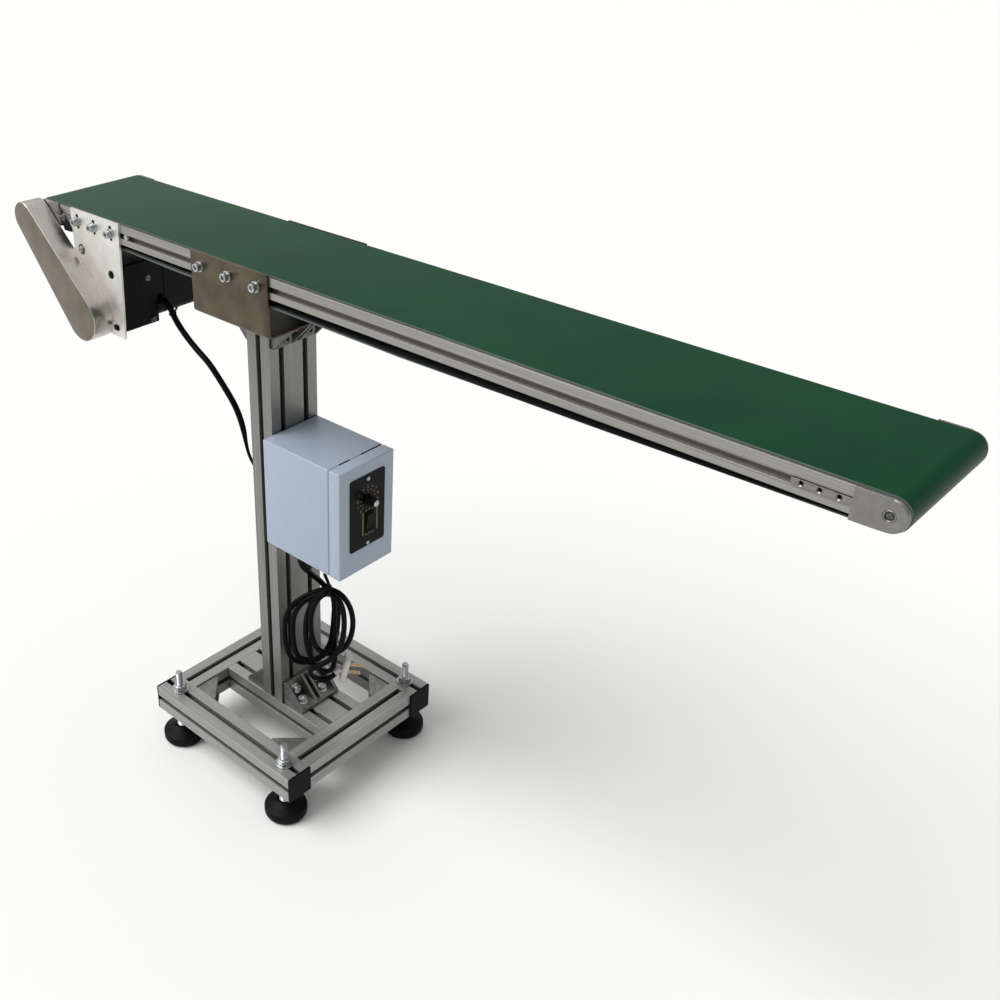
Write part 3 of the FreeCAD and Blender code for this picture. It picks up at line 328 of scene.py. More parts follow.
def eased(piece, rounding, segments=2):
    """Rounds the sharp edges of a piece by so many millimetres."""
    edges = piece.modifiers.new("eased_edges", "BEVEL")
    edges.width = rounding * MM
    edges.segments = segments
    edges.limit_method = "ANGLE"
    edges.angle_limit = math.radians(EDGE_ANGLE)
    edges.use_clamp_overlap = True
    edges.harden_normals = True
    return piece


def rounded_edges(mesh, chosen, radius):
    """The mesh with the edges that chosen picks rounded off by so many millimetres."""
    edit = bmesh.new()
    edit.from_mesh(mesh)
    picked = [edge for edge in edit.edges if len(edge.link_faces) == 2 and chosen(edge)]
    bmesh.ops.bevel(edit, geom=picked, offset=radius * MM, segments=4, profile=0.5,
                    affect="EDGES", clamp_overlap=False)
    edit.to_mesh(mesh)
    edit.free()
    return mesh


def less(mesh, cutter):
    """A mesh with the cutter's closed shapes taken out."""
    whole = bpy.data.objects.new("whole", mesh)
    tool = bpy.data.objects.new("cutter", cutter)
    for item in (whole, tool):
        bpy.context.collection.objects.link(item)
    cut = whole.modifiers.new("cut", "BOOLEAN")
    cut.operation = "DIFFERENCE"
    cut.solver = "EXACT"
    cut.object = tool
    seen = whole.evaluated_get(bpy.context.evaluated_depsgraph_get())
    result = bpy.data.meshes.new_from_object(seen)
    bpy.data.objects.remove(whole)
    bpy.data.objects.remove(tool)
    return result


def dressed(node, name, finish, rounding, segments=2, mesh=None):
    """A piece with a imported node's shape, its edges eased and its finish put on."""
    piece = new_piece(name, mesh or packed(node), finish, BODY_OF[node])
    eased(piece, rounding, segments)
    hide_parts(node)
    return piece


aluminium = [anodised_aluminium(f"anodised_aluminium_{'xyz'[along]}", along, *tones, *SLOT_EDGE)
             for along, tones in enumerate(ALUMINIUM_TONES)]
PROFILES = (
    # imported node, piece, direction of its length
    ("base_side_near", "side_profile_near", 0), ("base_side_far", "side_profile_far", 0),
    ("base_end_head", "cross_profile_head", 1), ("base_end_tail", "cross_profile_tail", 1),
    ("base_centre", "centre_profile", 1), ("column", "column_profile", 2))
for node, name, along in PROFILES:
    dressed(node, name, aluminium[along], SAWN_EDGE)
dressed("end_caps", "profile_caps", nylon, 0.8)


# Brackets
# Die-cast aluminium angles, tumbled to a dull grey; those at the column's top are darker
# with painted shade, for the shadow under the conveyor. Each bay is held by socket screws
# with washers in the slots of the profiles.
CAST_LIGHT, CAST_DARK = "#969591", "#73726F"
PAINTED_SHADE_CAST_LIGHT, PAINTED_SHADE_CAST_DARK = "#767572", "#5C5B58"
NEW_ZINC_LIGHT, NEW_ZINC_DARK = "#F4F4F4", "#D6D7D7"
OILED_STEEL_LIGHT, OILED_STEEL_DARK = "#6E6E6F", "#4A4A4B"
ANGLE_SCREW = {"Head radius": 6.2, "Head height": 6, "Socket width": 5, "Washer radius": 7.6,
               "Washer thickness": 1.4}
SCREW_SIDES, SCREW_SEED, SCREW_EASE = 28, 7, 0.3
# Where the screws sit: off the middle of the column, and off the inner edge of a bracket
FOOT_BAYS, BRACKET_BOLT_OFFSET, TOP_WALL_BOLT_OFFSET, BRACKET_WALL = 19.5, 21.5, 26.5, 5
COLUMN_FACE, BASE_TOP, COLUMN_TOP = 20, 90, 680
INNER_X, INNER_Y, BASE_MIDDLE = 100, 102.5, 70


def cast_aluminium(name, dark, light, roughness=0.46):
    """Die-cast aluminium: grey, with the fine pitting and the dull sheen of tumbling."""
    finish, tree, shader, place = new_finish(name)
    cloud = noise(tree, place, 7, 5)
    pits = noise(tree, place, 0.8, 2)
    tone = two_tones(tree, cloud, dark, light, 0.25, 0.75)
    bump = bumps(tree, pits, 0.3, 0.06)
    wire(tree, shader, {"Base Color": tone, "Roughness": roughness, "Normal": bump,
                        "Metallic": 1.0})
    return finish


def cylinder(tree, sides, radius, depth):
    """An upright cylinder about the origin, as a node."""
    return add(tree, "GeometryNodeMeshCylinder",
               {"Vertices": sides, "Radius": radius, "Depth": depth})


def raised(tree, shape, height):
    """A shape moved up, as a node."""
    lift = add(tree, "ShaderNodeCombineXYZ", {"Z": height})
    return add(tree, "GeometryNodeTransform",
               {"Geometry": shape, "Translation": (lift, "Vector")})


def socket_screw_nodes():
    """Geometry nodes that set a socket screw and its washer on every point."""
    tree = bpy.data.node_groups.new("socket_screws", "GeometryNodeTree")
    tree.is_modifier = True
    tree.interface.new_socket("Geometry", in_out="INPUT", socket_type="NodeSocketGeometry")
    for label in ANGLE_SCREW:
        tree.interface.new_socket(label, in_out="INPUT", socket_type="NodeSocketFloat")
    tree.interface.new_socket("Finish", in_out="INPUT", socket_type="NodeSocketMaterial")
    tree.interface.new_socket("Geometry", in_out="OUTPUT", socket_type="NodeSocketGeometry")
    given = add(tree, "NodeGroupInput")
    thickness, height = (given, "Washer thickness"), (given, "Head height")
    washer = cylinder(tree, SCREW_SIDES, (given, "Washer radius"), thickness)
    head = cylinder(tree, SCREW_SIDES, (given, "Head radius"), height)
    reach = maths(tree, "MULTIPLY", (given, "Socket width"), 1 / math.sqrt(3))
    key = cylinder(tree, 6, reach, height)
    half_washer = maths(tree, "MULTIPLY", thickness, 0.5)
    half_head = maths(tree, "MULTIPLY", height, 0.5)
    head_rise = maths(tree, "ADD", thickness, half_head)
    seat = raised(tree, (washer, "Mesh"), half_washer)
    cutter = raised(tree, (key, "Mesh"), half_head)
    drilled = add(tree, "GeometryNodeMeshBoolean",
                  {"Mesh 1": (head, "Mesh"), "Mesh 2": (cutter, "Geometry")},
                  operation="DIFFERENCE", solver="EXACT")
    cap = raised(tree, (drilled, "Mesh"), head_rise)
    screw = add(tree, "GeometryNodeJoinGeometry")
    for part in (seat, cap):
        tree.links.new(part.outputs["Geometry"], screw.inputs["Geometry"])
    axis = add(tree, "GeometryNodeInputNamedAttribute", {"Name": "axis"},
               data_type="FLOAT_VECTOR")
    upright = add(tree, "FunctionNodeAlignRotationToVector",
                  {"Vector": (axis, "Attribute")}, axis="Z")
    turn = add(tree, "FunctionNodeRandomValue", {3: math.tau, "Seed": SCREW_SEED},
               data_type="FLOAT")
    spin = add(tree, "FunctionNodeAxisAngleToRotation",
               {"Axis": (0, 0, 1), "Angle": (turn, 1)})
    facing = add(tree, "FunctionNodeRotateRotation",
                 {"Rotation": (upright, "Rotation"), "Rotate By": (spin, "Rotation")},
                 rotation_space="LOCAL")
    screws = add(tree, "GeometryNodeInstanceOnPoints",
                 {"Points": (given, "Geometry"), "Instance": (screw, "Geometry"),
                  "Rotation": (facing, "Rotation")})
    solid = add(tree, "GeometryNodeRealizeInstances", {"Geometry": (screws, "Instances")})
    plated = add(tree, "GeometryNodeSetMaterial", {"Geometry": (solid, "Geometry"),
                                                   "Material": (given, "Finish")})
    add(tree, "NodeGroupOutput", {"Geometry": (plated, "Geometry")})
    return tree


def screws(name, places, sizes, finish, body="frame"):
    """A piece with one screw on every (point, axis) of places, all in millimetres."""
    points = bpy.data.meshes.new(name)
    points.from_pydata([Vector(point) * MM for point, axis in places], [], [])
    axes = points.attributes.new("axis", "FLOAT_VECTOR", "POINT")
    for value, (point, axis) in zip(axes.data, places):
        value.vector = axis
    holder = bpy.data.objects.new(name, points)
    bpy.context.collection.objects.link(holder)
    fitted = holder.modifiers.new("socket_screws", "NODES")
    fitted.node_group = SCREW_NODES
    sockets = {item.name: item.identifier for item in SCREW_NODES.interface.items_tree
               if item.in_out == "INPUT"}
    for label, value in sizes.items():
        fitted[sockets[label]] = value * MM
    fitted[sockets["Finish"]] = finish
    seen = holder.evaluated_get(bpy.context.evaluated_depsgraph_get())
    mesh = bpy.data.meshes.new_from_object(seen)
    bpy.data.objects.remove(holder)
    piece = new_piece(name, mesh, finish, body)
    return eased(piece, SCREW_EASE)


SCREW_NODES = socket_screw_nodes()
cast = cast_aluminium("tumbled_die_cast_aluminium", CAST_DARK, CAST_LIGHT)
painted_shade_cast = cast_aluminium("die_cast_aluminium_painted_shade", PAINTED_SHADE_CAST_DARK, PAINTED_SHADE_CAST_LIGHT)
# The angles at the column's top take a darker cast finish: painted shade for the shadow under the
# conveyor.
for node, name, finish in (("column_foot_brackets", "foot_angles", cast),
                           ("corner_brackets", "corner_angles", cast),
                           ("column_top_brackets", "top_angles", painted_shade_cast)):
    dressed(node, name, finish, 0.6)

top_places, low_places = [], []
for side in (-1, 1):
    for bay in (-FOOT_BAYS, FOOT_BAYS):
        for level, up, wall_bolt, places in (
                (BASE_TOP, 1, BRACKET_BOLT_OFFSET, low_places),
                (COLUMN_TOP, -1, TOP_WALL_BOLT_OFFSET, top_places)):
            leg = side * (COLUMN_FACE + BRACKET_BOLT_OFFSET)
            places.append(((leg, bay, level + up * BRACKET_WALL), (0, 0, up)))
            wall = side * (COLUMN_FACE + BRACKET_WALL)
            places.append(((wall, bay, level + up * wall_bolt), (side, 0, 0)))
for x in (-1, 1):
    for y in (-1, 1):
        side_wall = (x * (INNER_X - BRACKET_BOLT_OFFSET), y * (INNER_Y - BRACKET_WALL), BASE_MIDDLE)
        end_wall = (x * (INNER_X - BRACKET_WALL), y * (INNER_Y - BRACKET_BOLT_OFFSET), BASE_MIDDLE)
        low_places.append((side_wall, (0, -y, 0)))
        low_places.append((end_wall, (-x, 0, 0)))
new_zinc = plated_steel("new_zinc_plate", NEW_ZINC_DARK, NEW_ZINC_LIGHT)
dark_steel = plated_steel("oiled_screw_steel", OILED_STEEL_DARK, OILED_STEEL_LIGHT)
angle_screws = screws("angle_screws", low_places, ANGLE_SCREW, new_zinc)
# Painted shade: the top screws take the dark steel for the shadow under the conveyor.
screws("top_angle_screws", top_places, ANGLE_SCREW, dark_steel)
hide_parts("bracket_bolts")


# Saddle
# A folded trough of stainless plate that carries both rails, left as it came from the
# mill: a brownish, blotchy skin with brown heat marks along the cut edge on the tail side.
SADDLE_LIGHT, SADDLE_DARK, SADDLE_BURNT = "#6A6051", "#534A3F", "#3A2820"
SADDLE_PAINTED_SHADE = "#1F1917"
SADDLE_RIM_LEVEL, FAR_WALL_DROP = 755, 2.4
SADDLE_HALF, BURN_WIDTH, BURN_END = 67.2, 13, 3
SADDLE_SHADE_INWARD, STREAK_STRETCH = -0.01, 0.08
SADDLE_SCREW = {"Head radius": 5.1, "Head height": 6, "Socket width": 5, "Washer radius": 6.6,
                "Washer thickness": 2.8}
SADDLE_SCREW_X, SADDLE_FACE, SLOT_Z = (-49, 0, 49), 81, 740.5

# The skin burns where streaks meet the edge; painted shade darkens the faces that look into the
# trough.
saddle_finish, tree, shader, place = new_finish("heat_marked_mill_stainless_painted_shade")
blotches = noise(tree, place, 30, 5)
tone = two_tones(tree, blotches, SADDLE_DARK, SADDLE_LIGHT, 0.3, 0.7)
along = add(tree, "ShaderNodeSeparateXYZ", {"Vector": place})
streaks = stretched(tree, place, (1, 1, STREAK_STRETCH))
streak = noise(tree, streaks, 5, 3)
edge = remap(tree, (along, "X"), from_low=(SADDLE_HALF - BURN_WIDTH) * MM,
             from_high=(SADDLE_HALF - BURN_END) * MM)
burn = maths(tree, "MULTIPLY", edge, streak)
burnt = blend(tree, burn, tone, linear(SADDLE_BURNT))
gloss = remap(tree, blotches, 0.3, 0.5)
normal = add(tree, "ShaderNodeNewGeometry")
turned_out = add(tree, "ShaderNodeVectorMath", {0: (normal, "True Normal"), 1: (0, 1, 0)},
                 operation="DOT_PRODUCT")
outward = maths(tree, "MULTIPLY", (turned_out, "Value"), (along, "Y"))
# Painted shade: faces that look into the trough are near-black.
inside = maths(tree, "LESS_THAN", outward, SADDLE_SHADE_INWARD)
skin_and_painted_shade = blend(tree, inside, burnt, linear(SADDLE_PAINTED_SHADE))
wire(tree, shader, {"Base Color": skin_and_painted_shade, "Roughness": gloss, "Metallic": 1.0})
folded = packed("saddle")
for vertex in folded.vertices:
    if vertex.co.y > 0 and vertex.co.z > SADDLE_RIM_LEVEL * MM:
        vertex.co.z -= FAR_WALL_DROP * MM
dressed("saddle", "saddle_plate", saddle_finish, 0.6, 3, folded)
screws("saddle_screws", [((x, side * SADDLE_FACE, SLOT_Z), (0, side, 0))
                         for x in SADDLE_SCREW_X for side in (-1, 1)], SADDLE_SCREW, zinc)


# Conveyor bed
# Two slotted aluminium rails with a stainless slider deck between them. Plates with round
# noses carry the drums; their tongues lie in the rails' slots with countersunk holes.
TONGUE_HOLES, TONGUE_FACE = (693, 708.5, 724.5), 80
TAIL_X, AXLE_Z = 764, 740
SHAFT_SEAT, SHAFT_SCREW_SEAT = 77.6, 77.9
PLATE_LIGHT, PLATE_DARK = "#8C8A85", "#7E7C77"
NOSE_HEEL_X, NOSE_HUB, NOSE_EASE, NOSE_MARGIN = 735, 12, 2, 0.01
RAIL_TONES, RAIL_SLOT_EDGE = ("#85837E", "#9E9C97"), (0.02, 0.26)
RAIL_FOOT_LEVEL, RAIL_FOOT_RISE = 727.5, 2
DECK_LIGHT, DECK_DARK = "#C9C5C0", "#A29D98"
AXLE_SCREW = {"Head radius": 2.7, "Head height": 0.9, "Socket width": 2.4,
              "Washer radius": 2.9, "Washer thickness": 0.2}
# Turned profiles, each (radius, height) in mm
COUNTERSINK = ((0, 0.5), (2.9, 0.5), (2.9, 0), (1.7, -1.2), (1.7, -6), (0, -6))
SHAFT_END = ((0, -1), (4.1, -1), (4.1, 0.1), (3.7, 0.3), (0, 0.3))
BUSH_RIM = ((5.2, 2.35), (4.9, 2.6), (4.3, 2.6), (4, 2.35))


def brushed_stainless(name, dark, light, stretch, low=0.2, high=0.42, rim=None):
    """Brushed stainless sheet: short scratches one way, with cloudy handling marks.

    Rim is the darker and lighter tone of a painted sheen on the faces turned away from the Y axis.
    """
    finish, tree, shader, place = new_finish(name)
    drawn = stretched(tree, place, stretch)
    brush = noise(tree, drawn, 0.9, 2)
    cloud = noise(tree, place, 24, 4)
    tone = two_tones(tree, cloud, dark, light, 0.3, 0.7)
    gloss = remap(tree, cloud, low, high)
    bump = bumps(tree, brush, 0.2, 0.04)
    # Painted sheen: faces turned away from the Y axis take the lighter rim tones, for the light
    # they catch.
    if rim:
        painted_rim_sheen = two_tones(tree, brush, *rim)
        normal = add(tree, "ShaderNodeNewGeometry")
        sides = add(tree, "ShaderNodeSeparateXYZ", {"Vector": (normal, "Normal")})
        flat = maths(tree, "ABSOLUTE", (sides, "Y"))
        face = remap(tree, flat, from_low=0.8, from_high=0.98)
        tone = blend(tree, face, painted_rim_sheen, tone)
    wire(tree, shader, {"Base Color": tone, "Roughness": gloss, "Normal": bump, "Metallic": 1.0})
    return finish


rail_aluminium = anodised_aluminium("anodised_rail_aluminium", 0, *RAIL_TONES, *RAIL_SLOT_EDGE)
for node, name in (("rail_near", "slot_rail_near"), ("rail_far", "slot_rail_far")):
    extruded = packed(node)
    for vertex in extruded.vertices:
        if vertex.co.z < RAIL_FOOT_LEVEL * MM:
            vertex.co.z += RAIL_FOOT_RISE * MM
    dressed(node, name, rail_aluminium, 0.3, mesh=extruded)
deck_sheet = brushed_stainless("brushed_deck_stainless", DECK_DARK, DECK_LIGHT, (0.05, 1, 1))
dressed("deck", "slider_deck", deck_sheet, 0.2)

bearing_plate = cast_aluminium("satin_milled_aluminium", PLATE_DARK, PLATE_LIGHT, 0.4)


def nose_rim(side):
    """Picks the outer rim of the round nose of the tail's bearing plate on one side."""
    def chosen(edge):
        outside = all(abs(v.co.y - side * TONGUE_FACE * MM) < NOSE_MARGIN * MM
                      for v in edge.verts)
        return outside and all(
            math.hypot(v.co.x - TAIL_X * MM, v.co.z - AXLE_Z * MM) > NOSE_HUB * MM
            and v.co.x > NOSE_HEEL_X * MM for v in edge.verts)
    return chosen


for side, name in ((-1, "near"), (1, "far")):
    holes = [((x, side * TONGUE_FACE, SLOT_Z), (0, side, 0)) for x in TONGUE_HOLES]
    cutter = turned("countersinks", COUNTERSINK, holes, steps=20)
    drilled = less(packed(f"tail_block_{name}"), cutter)
    tail_plate = dressed(f"tail_block_{name}", f"tail_bearing_{name}", bearing_plate, 0.3,
                         mesh=rounded_edges(drilled, nose_rim(side), NOSE_EASE))
    dressed(f"head_block_{name}", f"head_bearing_{name}", bearing_plate, 0.5)
dressed("tail_axle", "tail_shaft", zinc, 0.3)
shaft_places = [((TAIL_X, side * SHAFT_SEAT, AXLE_Z), (0, side, 0)) for side in (-1, 1)]
new_piece("tail_shaft_ends", turned("shaft_ends", SHAFT_END, shaft_places), dark_steel)
new_piece("tail_bush_rims", turned("bush_rims", BUSH_RIM, shaft_places, looped=True),
                  bearing_plate)
screws("tail_shaft_screws", [((TAIL_X, side * SHAFT_SCREW_SEAT, AXLE_Z), (0, side, 0))
                             for side in (-1, 1)], AXLE_SCREW, dark_steel)
for node, name in (("drive_roller", "drive_drum"), ("tail_roller", "tail_drum")):
    dressed(node, name, aluminium[1], 0.3)


# Belt
# Two-ply PVC belt with a smooth satin cover, slit to width and welded endless. From above
# it shows slow changes of tone and one faint weld; inside and at its edges shows the fabric.
BELT_LIGHT, BELT_DARK, BELT_WELD, BELT_EDGE = "#0A3B22", "#08351F", "#072D1A", "#5E6560"
BELT_FABRIC = "#2B302E"
WELD_X, WELD_SLANT, WELD_HALF, WELD_FADE, WELD_STRENGTH = 145, 0.35, 0.4, 1.4, 0.45
BELT_INWARD = -0.001

# The weld crosses the top at a slant. Faces that look at the drums show the fabric.
belt_finish, tree, shader, place = new_finish("satin_green_pvc_belting")
cloud = noise(tree, place, 110, 3)
tone = two_tones(tree, cloud, BELT_DARK, BELT_LIGHT)
axes = add(tree, "ShaderNodeSeparateXYZ", {"Vector": place})
slanted = maths(tree, "MULTIPLY_ADD", (axes, "Y"), WELD_SLANT, (axes, "X"))
from_weld = maths(tree, "SUBTRACT", slanted, WELD_X * MM)
distance = maths(tree, "ABSOLUTE", from_weld)
weld = remap(tree, distance, WELD_STRENGTH, 0.0, WELD_HALF * MM, WELD_FADE * MM)
welded = blend(tree, weld, tone, linear(BELT_WELD))
grain = noise(tree, place, 1.2, 2)
bump = bumps(tree, grain, 0.12, 0.05)
facing = add(tree, "ShaderNodeNewGeometry")
turned_out = add(tree, "ShaderNodeSeparateXYZ", {"Vector": (facing, "True Normal")})
cut = maths(tree, "ABSOLUTE", (turned_out, "Y"))
edged = blend(tree, cut, welded, linear(BELT_EDGE))
above_axle = maths(tree, "SUBTRACT", (axes, "Z"), AXLE_Z * MM)
outward = maths(tree, "MULTIPLY", above_axle, (turned_out, "Z"))
inside = maths(tree, "LESS_THAN", outward, BELT_INWARD)
lined = blend(tree, inside, edged, linear(BELT_FABRIC))
wire(tree, shader, {"Base Color": lined, "Roughness": 0.36, "IOR": 1.5,
                    "Specular IOR Level": 0.06, "Normal": bump})
dressed("belt", "green_belt", belt_finish, 0.5)


# Drive
# A stainless plate, screwed to the rail through slots, carries the geared motor. A brushed
# folded cover closes the toothed belt between motor and drum.
HEAD_PLATE_LIGHT, HEAD_PLATE_DARK = "#E9E7E3", "#D8D5D1"
COVER_LIGHT, COVER_DARK = "#7D766B", "#6E675C"
# Painted sheen on the cover's rim, for the light it reflects.
COVER_RIM_PAINTED_SHEEN = ("#B0ADA6", "#CBC8C1")
COVER_RIM_EASE = 1.1
HEAD_SLOTS, HEAD_PLATE_FACE, COVER_FACE = (-299, -263, -227), -81, -111
LEVEL_MARGIN = 0.05
PAN_SCREW = {"Head radius": 3.8, "Head height": 1.8, "Socket width": 2.4, "Washer radius": 4.4,
             "Washer thickness": 0.6}
# Turned profiles, each (radius, height) in mm
HOLE_PLUG = ((0, -1), (4.1, -1), (4.1, 0), (5.4, 0.1), (5.2, 0.9), (4.2, 1.4), (0, 1.7))
BURNT_RING = ((4.2, 0.02), (7, 0.02), (7, 0.08), (4.2, 0.08))
HOLE_PLUG_PLACE, RAIL_LOCK_PLACE = (-235, HEAD_PLATE_FACE, 684), (-199, -75.6, SLOT_Z)
LOCK_SCREW_PLACE = (-296.5, HEAD_PLATE_FACE, 703.8)
ADJUSTER_TAB = ((-337.7, -80, 738.2), (-317.8, -78.4, 742), 0.1)
ADJUSTER_SCREWS = ((-339.5, -79.4, 744.2), (-329.3, -80, 738.3))
WEDGE_CORNERS, WEDGE_DEPTHS = ((-338, 734), (-315, 734), (-315, 722), (-334, 721)), (-80, -77.6)
RUBBER_STOP = ((-239, -83, 608), (-230, -80.5, 615), 0)

plate_sheet = brushed_stainless("matt_head_plate_stainless", HEAD_PLATE_DARK, HEAD_PLATE_LIGHT,
                                (1, 1, 0.05), 0.38, 0.55)
cover_sheet = brushed_stainless("brushed_cover_stainless", COVER_DARK, COVER_LIGHT,
                                (1, 1, 0.05), 0.24, 0.34, COVER_RIM_PAINTED_SHEEN)
dressed("head_plate", "slotted_head_plate", plate_sheet, 0.3)


def cover_rim(edge):
    """Picks the rim of the cover's outer face."""
    return all(v.co.y < (COVER_FACE + LEVEL_MARGIN) * MM for v in edge.verts)


def boxes(name, rows):
    """A mesh of boxes, each a lowest and a highest corner in mm, leant about its middle."""
    edit = bmesh.new()
    for low, high, lean in rows:
        low, high = Vector(low) * MM, Vector(high) * MM
        made = bmesh.ops.create_cube(edit, size=1)["verts"]
        place = (Matrix.Translation((low + high) / 2) @ Matrix.Rotation(lean, 4, "Y")
                 @ Matrix.Diagonal((*(high - low), 1)))
        bmesh.ops.transform(edit, matrix=place, verts=made)
    return mesh_from(edit, name)


cover = rounded_edges(packed("drive_cover"), cover_rim, COVER_RIM_EASE)
dressed("drive_cover", "belt_drive_cover", cover_sheet, 0.2, 1, cover)
dressed("cover_back", "cover_back_plate", plate_sheet, 0.3)

# At the head of the plate: a worn adjuster tab with its screws, the wedge of the drum's
# bearing below it, and a lock screw in a burnt ring. Low down, the cover's rubber stop.
adjuster = new_piece("adjuster_tab", boxes("adjuster", [ADJUSTER_TAB]), plate_sheet)
eased(adjuster, 0.3)
wedge = [[(x, depth, z) for x, z in WEDGE_CORNERS] for depth in WEDGE_DEPTHS]
stops = joined("stops", [skinned("wedge", [wedge]), boxes("stop", [RUBBER_STOP])])
eased(new_piece("rubber_stops", stops, nylon), 0.6)
head_places = [(x, HEAD_PLATE_FACE, SLOT_Z) for x in HEAD_SLOTS]
for name, sizes, finish, places in (
        ("head_plate_screws", SADDLE_SCREW, zinc, head_places),
        ("rail_lock_screw", PAN_SCREW, zinc, [RAIL_LOCK_PLACE]),
        ("adjuster_screws", PAN_SCREW, dark_steel, ADJUSTER_SCREWS),
        ("lock_screw", PAN_SCREW, zinc, [LOCK_SCREW_PLACE])):
    screws(name, [(place, (0, -1, 0)) for place in places], sizes, finish)
ring = turned("burnt_ring", BURNT_RING, [(LOCK_SCREW_PLACE, (0, -1, 0))], looped=True)
new_piece("burnt_ring", ring, saddle_finish)
hole_plug = turned("hole_plug", HOLE_PLUG, [(HOLE_PLUG_PLACE, (0, -1, 0))], steps=28)
new_piece("plate_hole_plug", hole_plug, nylon)

# The gearbox and the motor are cast and drawn housings in black stove enamel, with a
# groove at each joint and end bells held by four small screws.
MOTOR_X, MOTOR_Z = -267, 651
GEARBOX_HALF, BELL_FACE, BELL_SCREW_SPREAD = 45, 65.4, 31
SIDE_SCREWS = ((-34, 20), (-30, -39))
ENAMEL_LIGHT, ENAMEL_DARK = "#080809", "#040404"
GEARBOX_ROWS = (
    # distance across the belt, half width, corner in mm
    (-78, 44.2, 2), (-77.4, 45, 2.4), (-48.6, 45, 2.4), (-48, 44.4, 2.4), (-47, 44.4, 2.4),
    (-46.4, 45, 2.4), (-20.8, 45, 2.4), (-20, 44.2, 2))
MOTOR_ROWS = (
    (-20, 40, 10), (-6, 40, 10), (-5.6, 39.2, 10), (-4.4, 39.2, 10), (-4, 40, 10),
    (50, 40, 10), (50.4, 39.2, 10), (51.6, 39.2, 10), (52, 40, 10), (62, 40, 10),
    (64.6, 39, 9.5), (66, 37.4, 9))


def rounded_square(name, rows, centre_x, centre_z, corner_steps=6):
    """A closed housing along Y through rounded squares, each (y, half width, corner)."""
    rings = []
    for y, half, corner in rows:
        ring = []
        for quarter in range(4):
            for i in range(corner_steps + 1):
                angle = math.pi / 2 * (quarter + i / corner_steps)
                sign_x = 1 if quarter in (0, 3) else -1
                sign_z = 1 if quarter in (0, 1) else -1
                x = centre_x + sign_x * (half - corner) + corner * math.cos(angle)
                z = centre_z + sign_z * (half - corner) + corner * math.sin(angle)
                ring.append((x, y, z))
        rings.append(ring)
    return skinned(name, [rings])


enamel = moulded_plastic("black_stove_enamel", ENAMEL_DARK, ENAMEL_LIGHT, 0.34, 0.1)
for node, name, rows in (("gearbox", "gear_housing", GEARBOX_ROWS),
                         ("motor", "motor_housing", MOTOR_ROWS)):
    housing = new_piece(name, rounded_square(name, rows, MOTOR_X, MOTOR_Z), enamel)
    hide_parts(node)
bell_screws = [((MOTOR_X + x, BELL_FACE, MOTOR_Z + z), (0, 1, 0))
               for x in (-BELL_SCREW_SPREAD, BELL_SCREW_SPREAD)
               for z in (-BELL_SCREW_SPREAD, BELL_SCREW_SPREAD)]
side_screws = [((MOTOR_X + GEARBOX_HALF, y, MOTOR_Z + z), (1, 0, 0)) for y, z in SIDE_SCREWS]
screws("housing_screws", bell_screws + side_screws, PAN_SCREW, dark_steel)


# Control box
# Folded steel box and lid in smooth blue-grey powder coat. The printed panel carries a
# speed dial from 0 to 10 and a rocker switch, and closes the speed unit behind it.
BOX_LIGHT, BOX_DARK = "#9AA6B5", "#95A1B0"
BOX_EASE = 2
SLIT_FRONT, SLIT_BACK, SLIT_BOTTOM, SLIT_TOP = 136, 134.2, 526.9, 527.56
HINGE_SLITS = ((-37, -19.5), (1.4, 36))
PANEL_LIGHT, PANEL_DARK = "#070808", "#040505"
PRINT_GOLD, PRINT_WORN = "#93763F", "#7A6032"
PANEL_FRONT, PRINT_HEIGHT = 156, 0.05
DIAL_Y, DIAL_Z, DIAL_START, DIAL_STEP, DIAL_NUMBERS = -8.5, 476, 225, 27, 11
TICK_RADIUS, TICK_LENGTH, TICK_WIDTH = 13.1, 3.2, 0.6
DIGIT_RADIUS, DIGIT_SIZE, DIGIT_DEPTH = 18.1, 5.6, 0.02
PRINTED_BARS = (
    # across, up, height, width in mm: at the rocker's sides, above it and below it
    (-17, 443.5, 33, 1.5), (8.3, 443.5, 33, 1.5),
    (-11, 461.5, 3, 0.9), (-5.5, 461.5, 3, 0.9), (0, 461.5, 3, 0.9),
    (-11, 426.5, 1.1, 3.4), (-5.5, 426.5, 1.1, 3.4), (0, 426.5, 1.1, 3.4))
# Turned profiles, each (radius, height) in mm
KNOB_PROFILE = (
    (0, 0), (7, 0), (7, 2.2), (6.2, 2.8), (5.8, 13.6), (5.2, 14.4), (0, 14.4))
KNOB_CAP = ((0, 14.3), (4.2, 14.3), (4.3, 14.6), (3.9, 15), (0, 15))
KNOB_STEPS, KNOB_FLUTE = 36, 0.05
PANEL_SCREW = {"Head radius": 2.6, "Head height": 0.9, "Socket width": 1.5, "Washer radius": 2.7,
               "Washer thickness": 0.2}
PANEL_SCREW_Y, PANEL_SCREW_LEVELS = -8.5, (505.2, 413.8)
ROCKER_Y, ROCKER_Z = -5.5, 444
ROCKER_BOXES = (
    # left, bottom, right and top from the rocker's middle, back and front from the panel, lean
    (-7, -13.5, -5.6, 13.5, 0, 1.4, 0), (5.6, -13.5, 7, 13.5, 0, 1.4, 0),
    (-5.6, -13.5, 5.6, -11.8, 0, 1.4, 0), (-5.6, 11.8, 5.6, 13.5, 0, 1.4, 0),
    (-5.2, -11.2, 5.2, 11.2, -0.6, 1.7, math.radians(5)))

box_finish, tree, shader, place = new_finish("smooth_blue_grey_powder_coat")
peel = noise(tree, place, 1.8, 1)
tone = two_tones(tree, peel, BOX_DARK, BOX_LIGHT)
bump = bumps(tree, peel, 0.12, 0.05)
wire(tree, shader, {"Base Color": tone, "Roughness": 0.36, "IOR": 1.5, "Normal": bump})


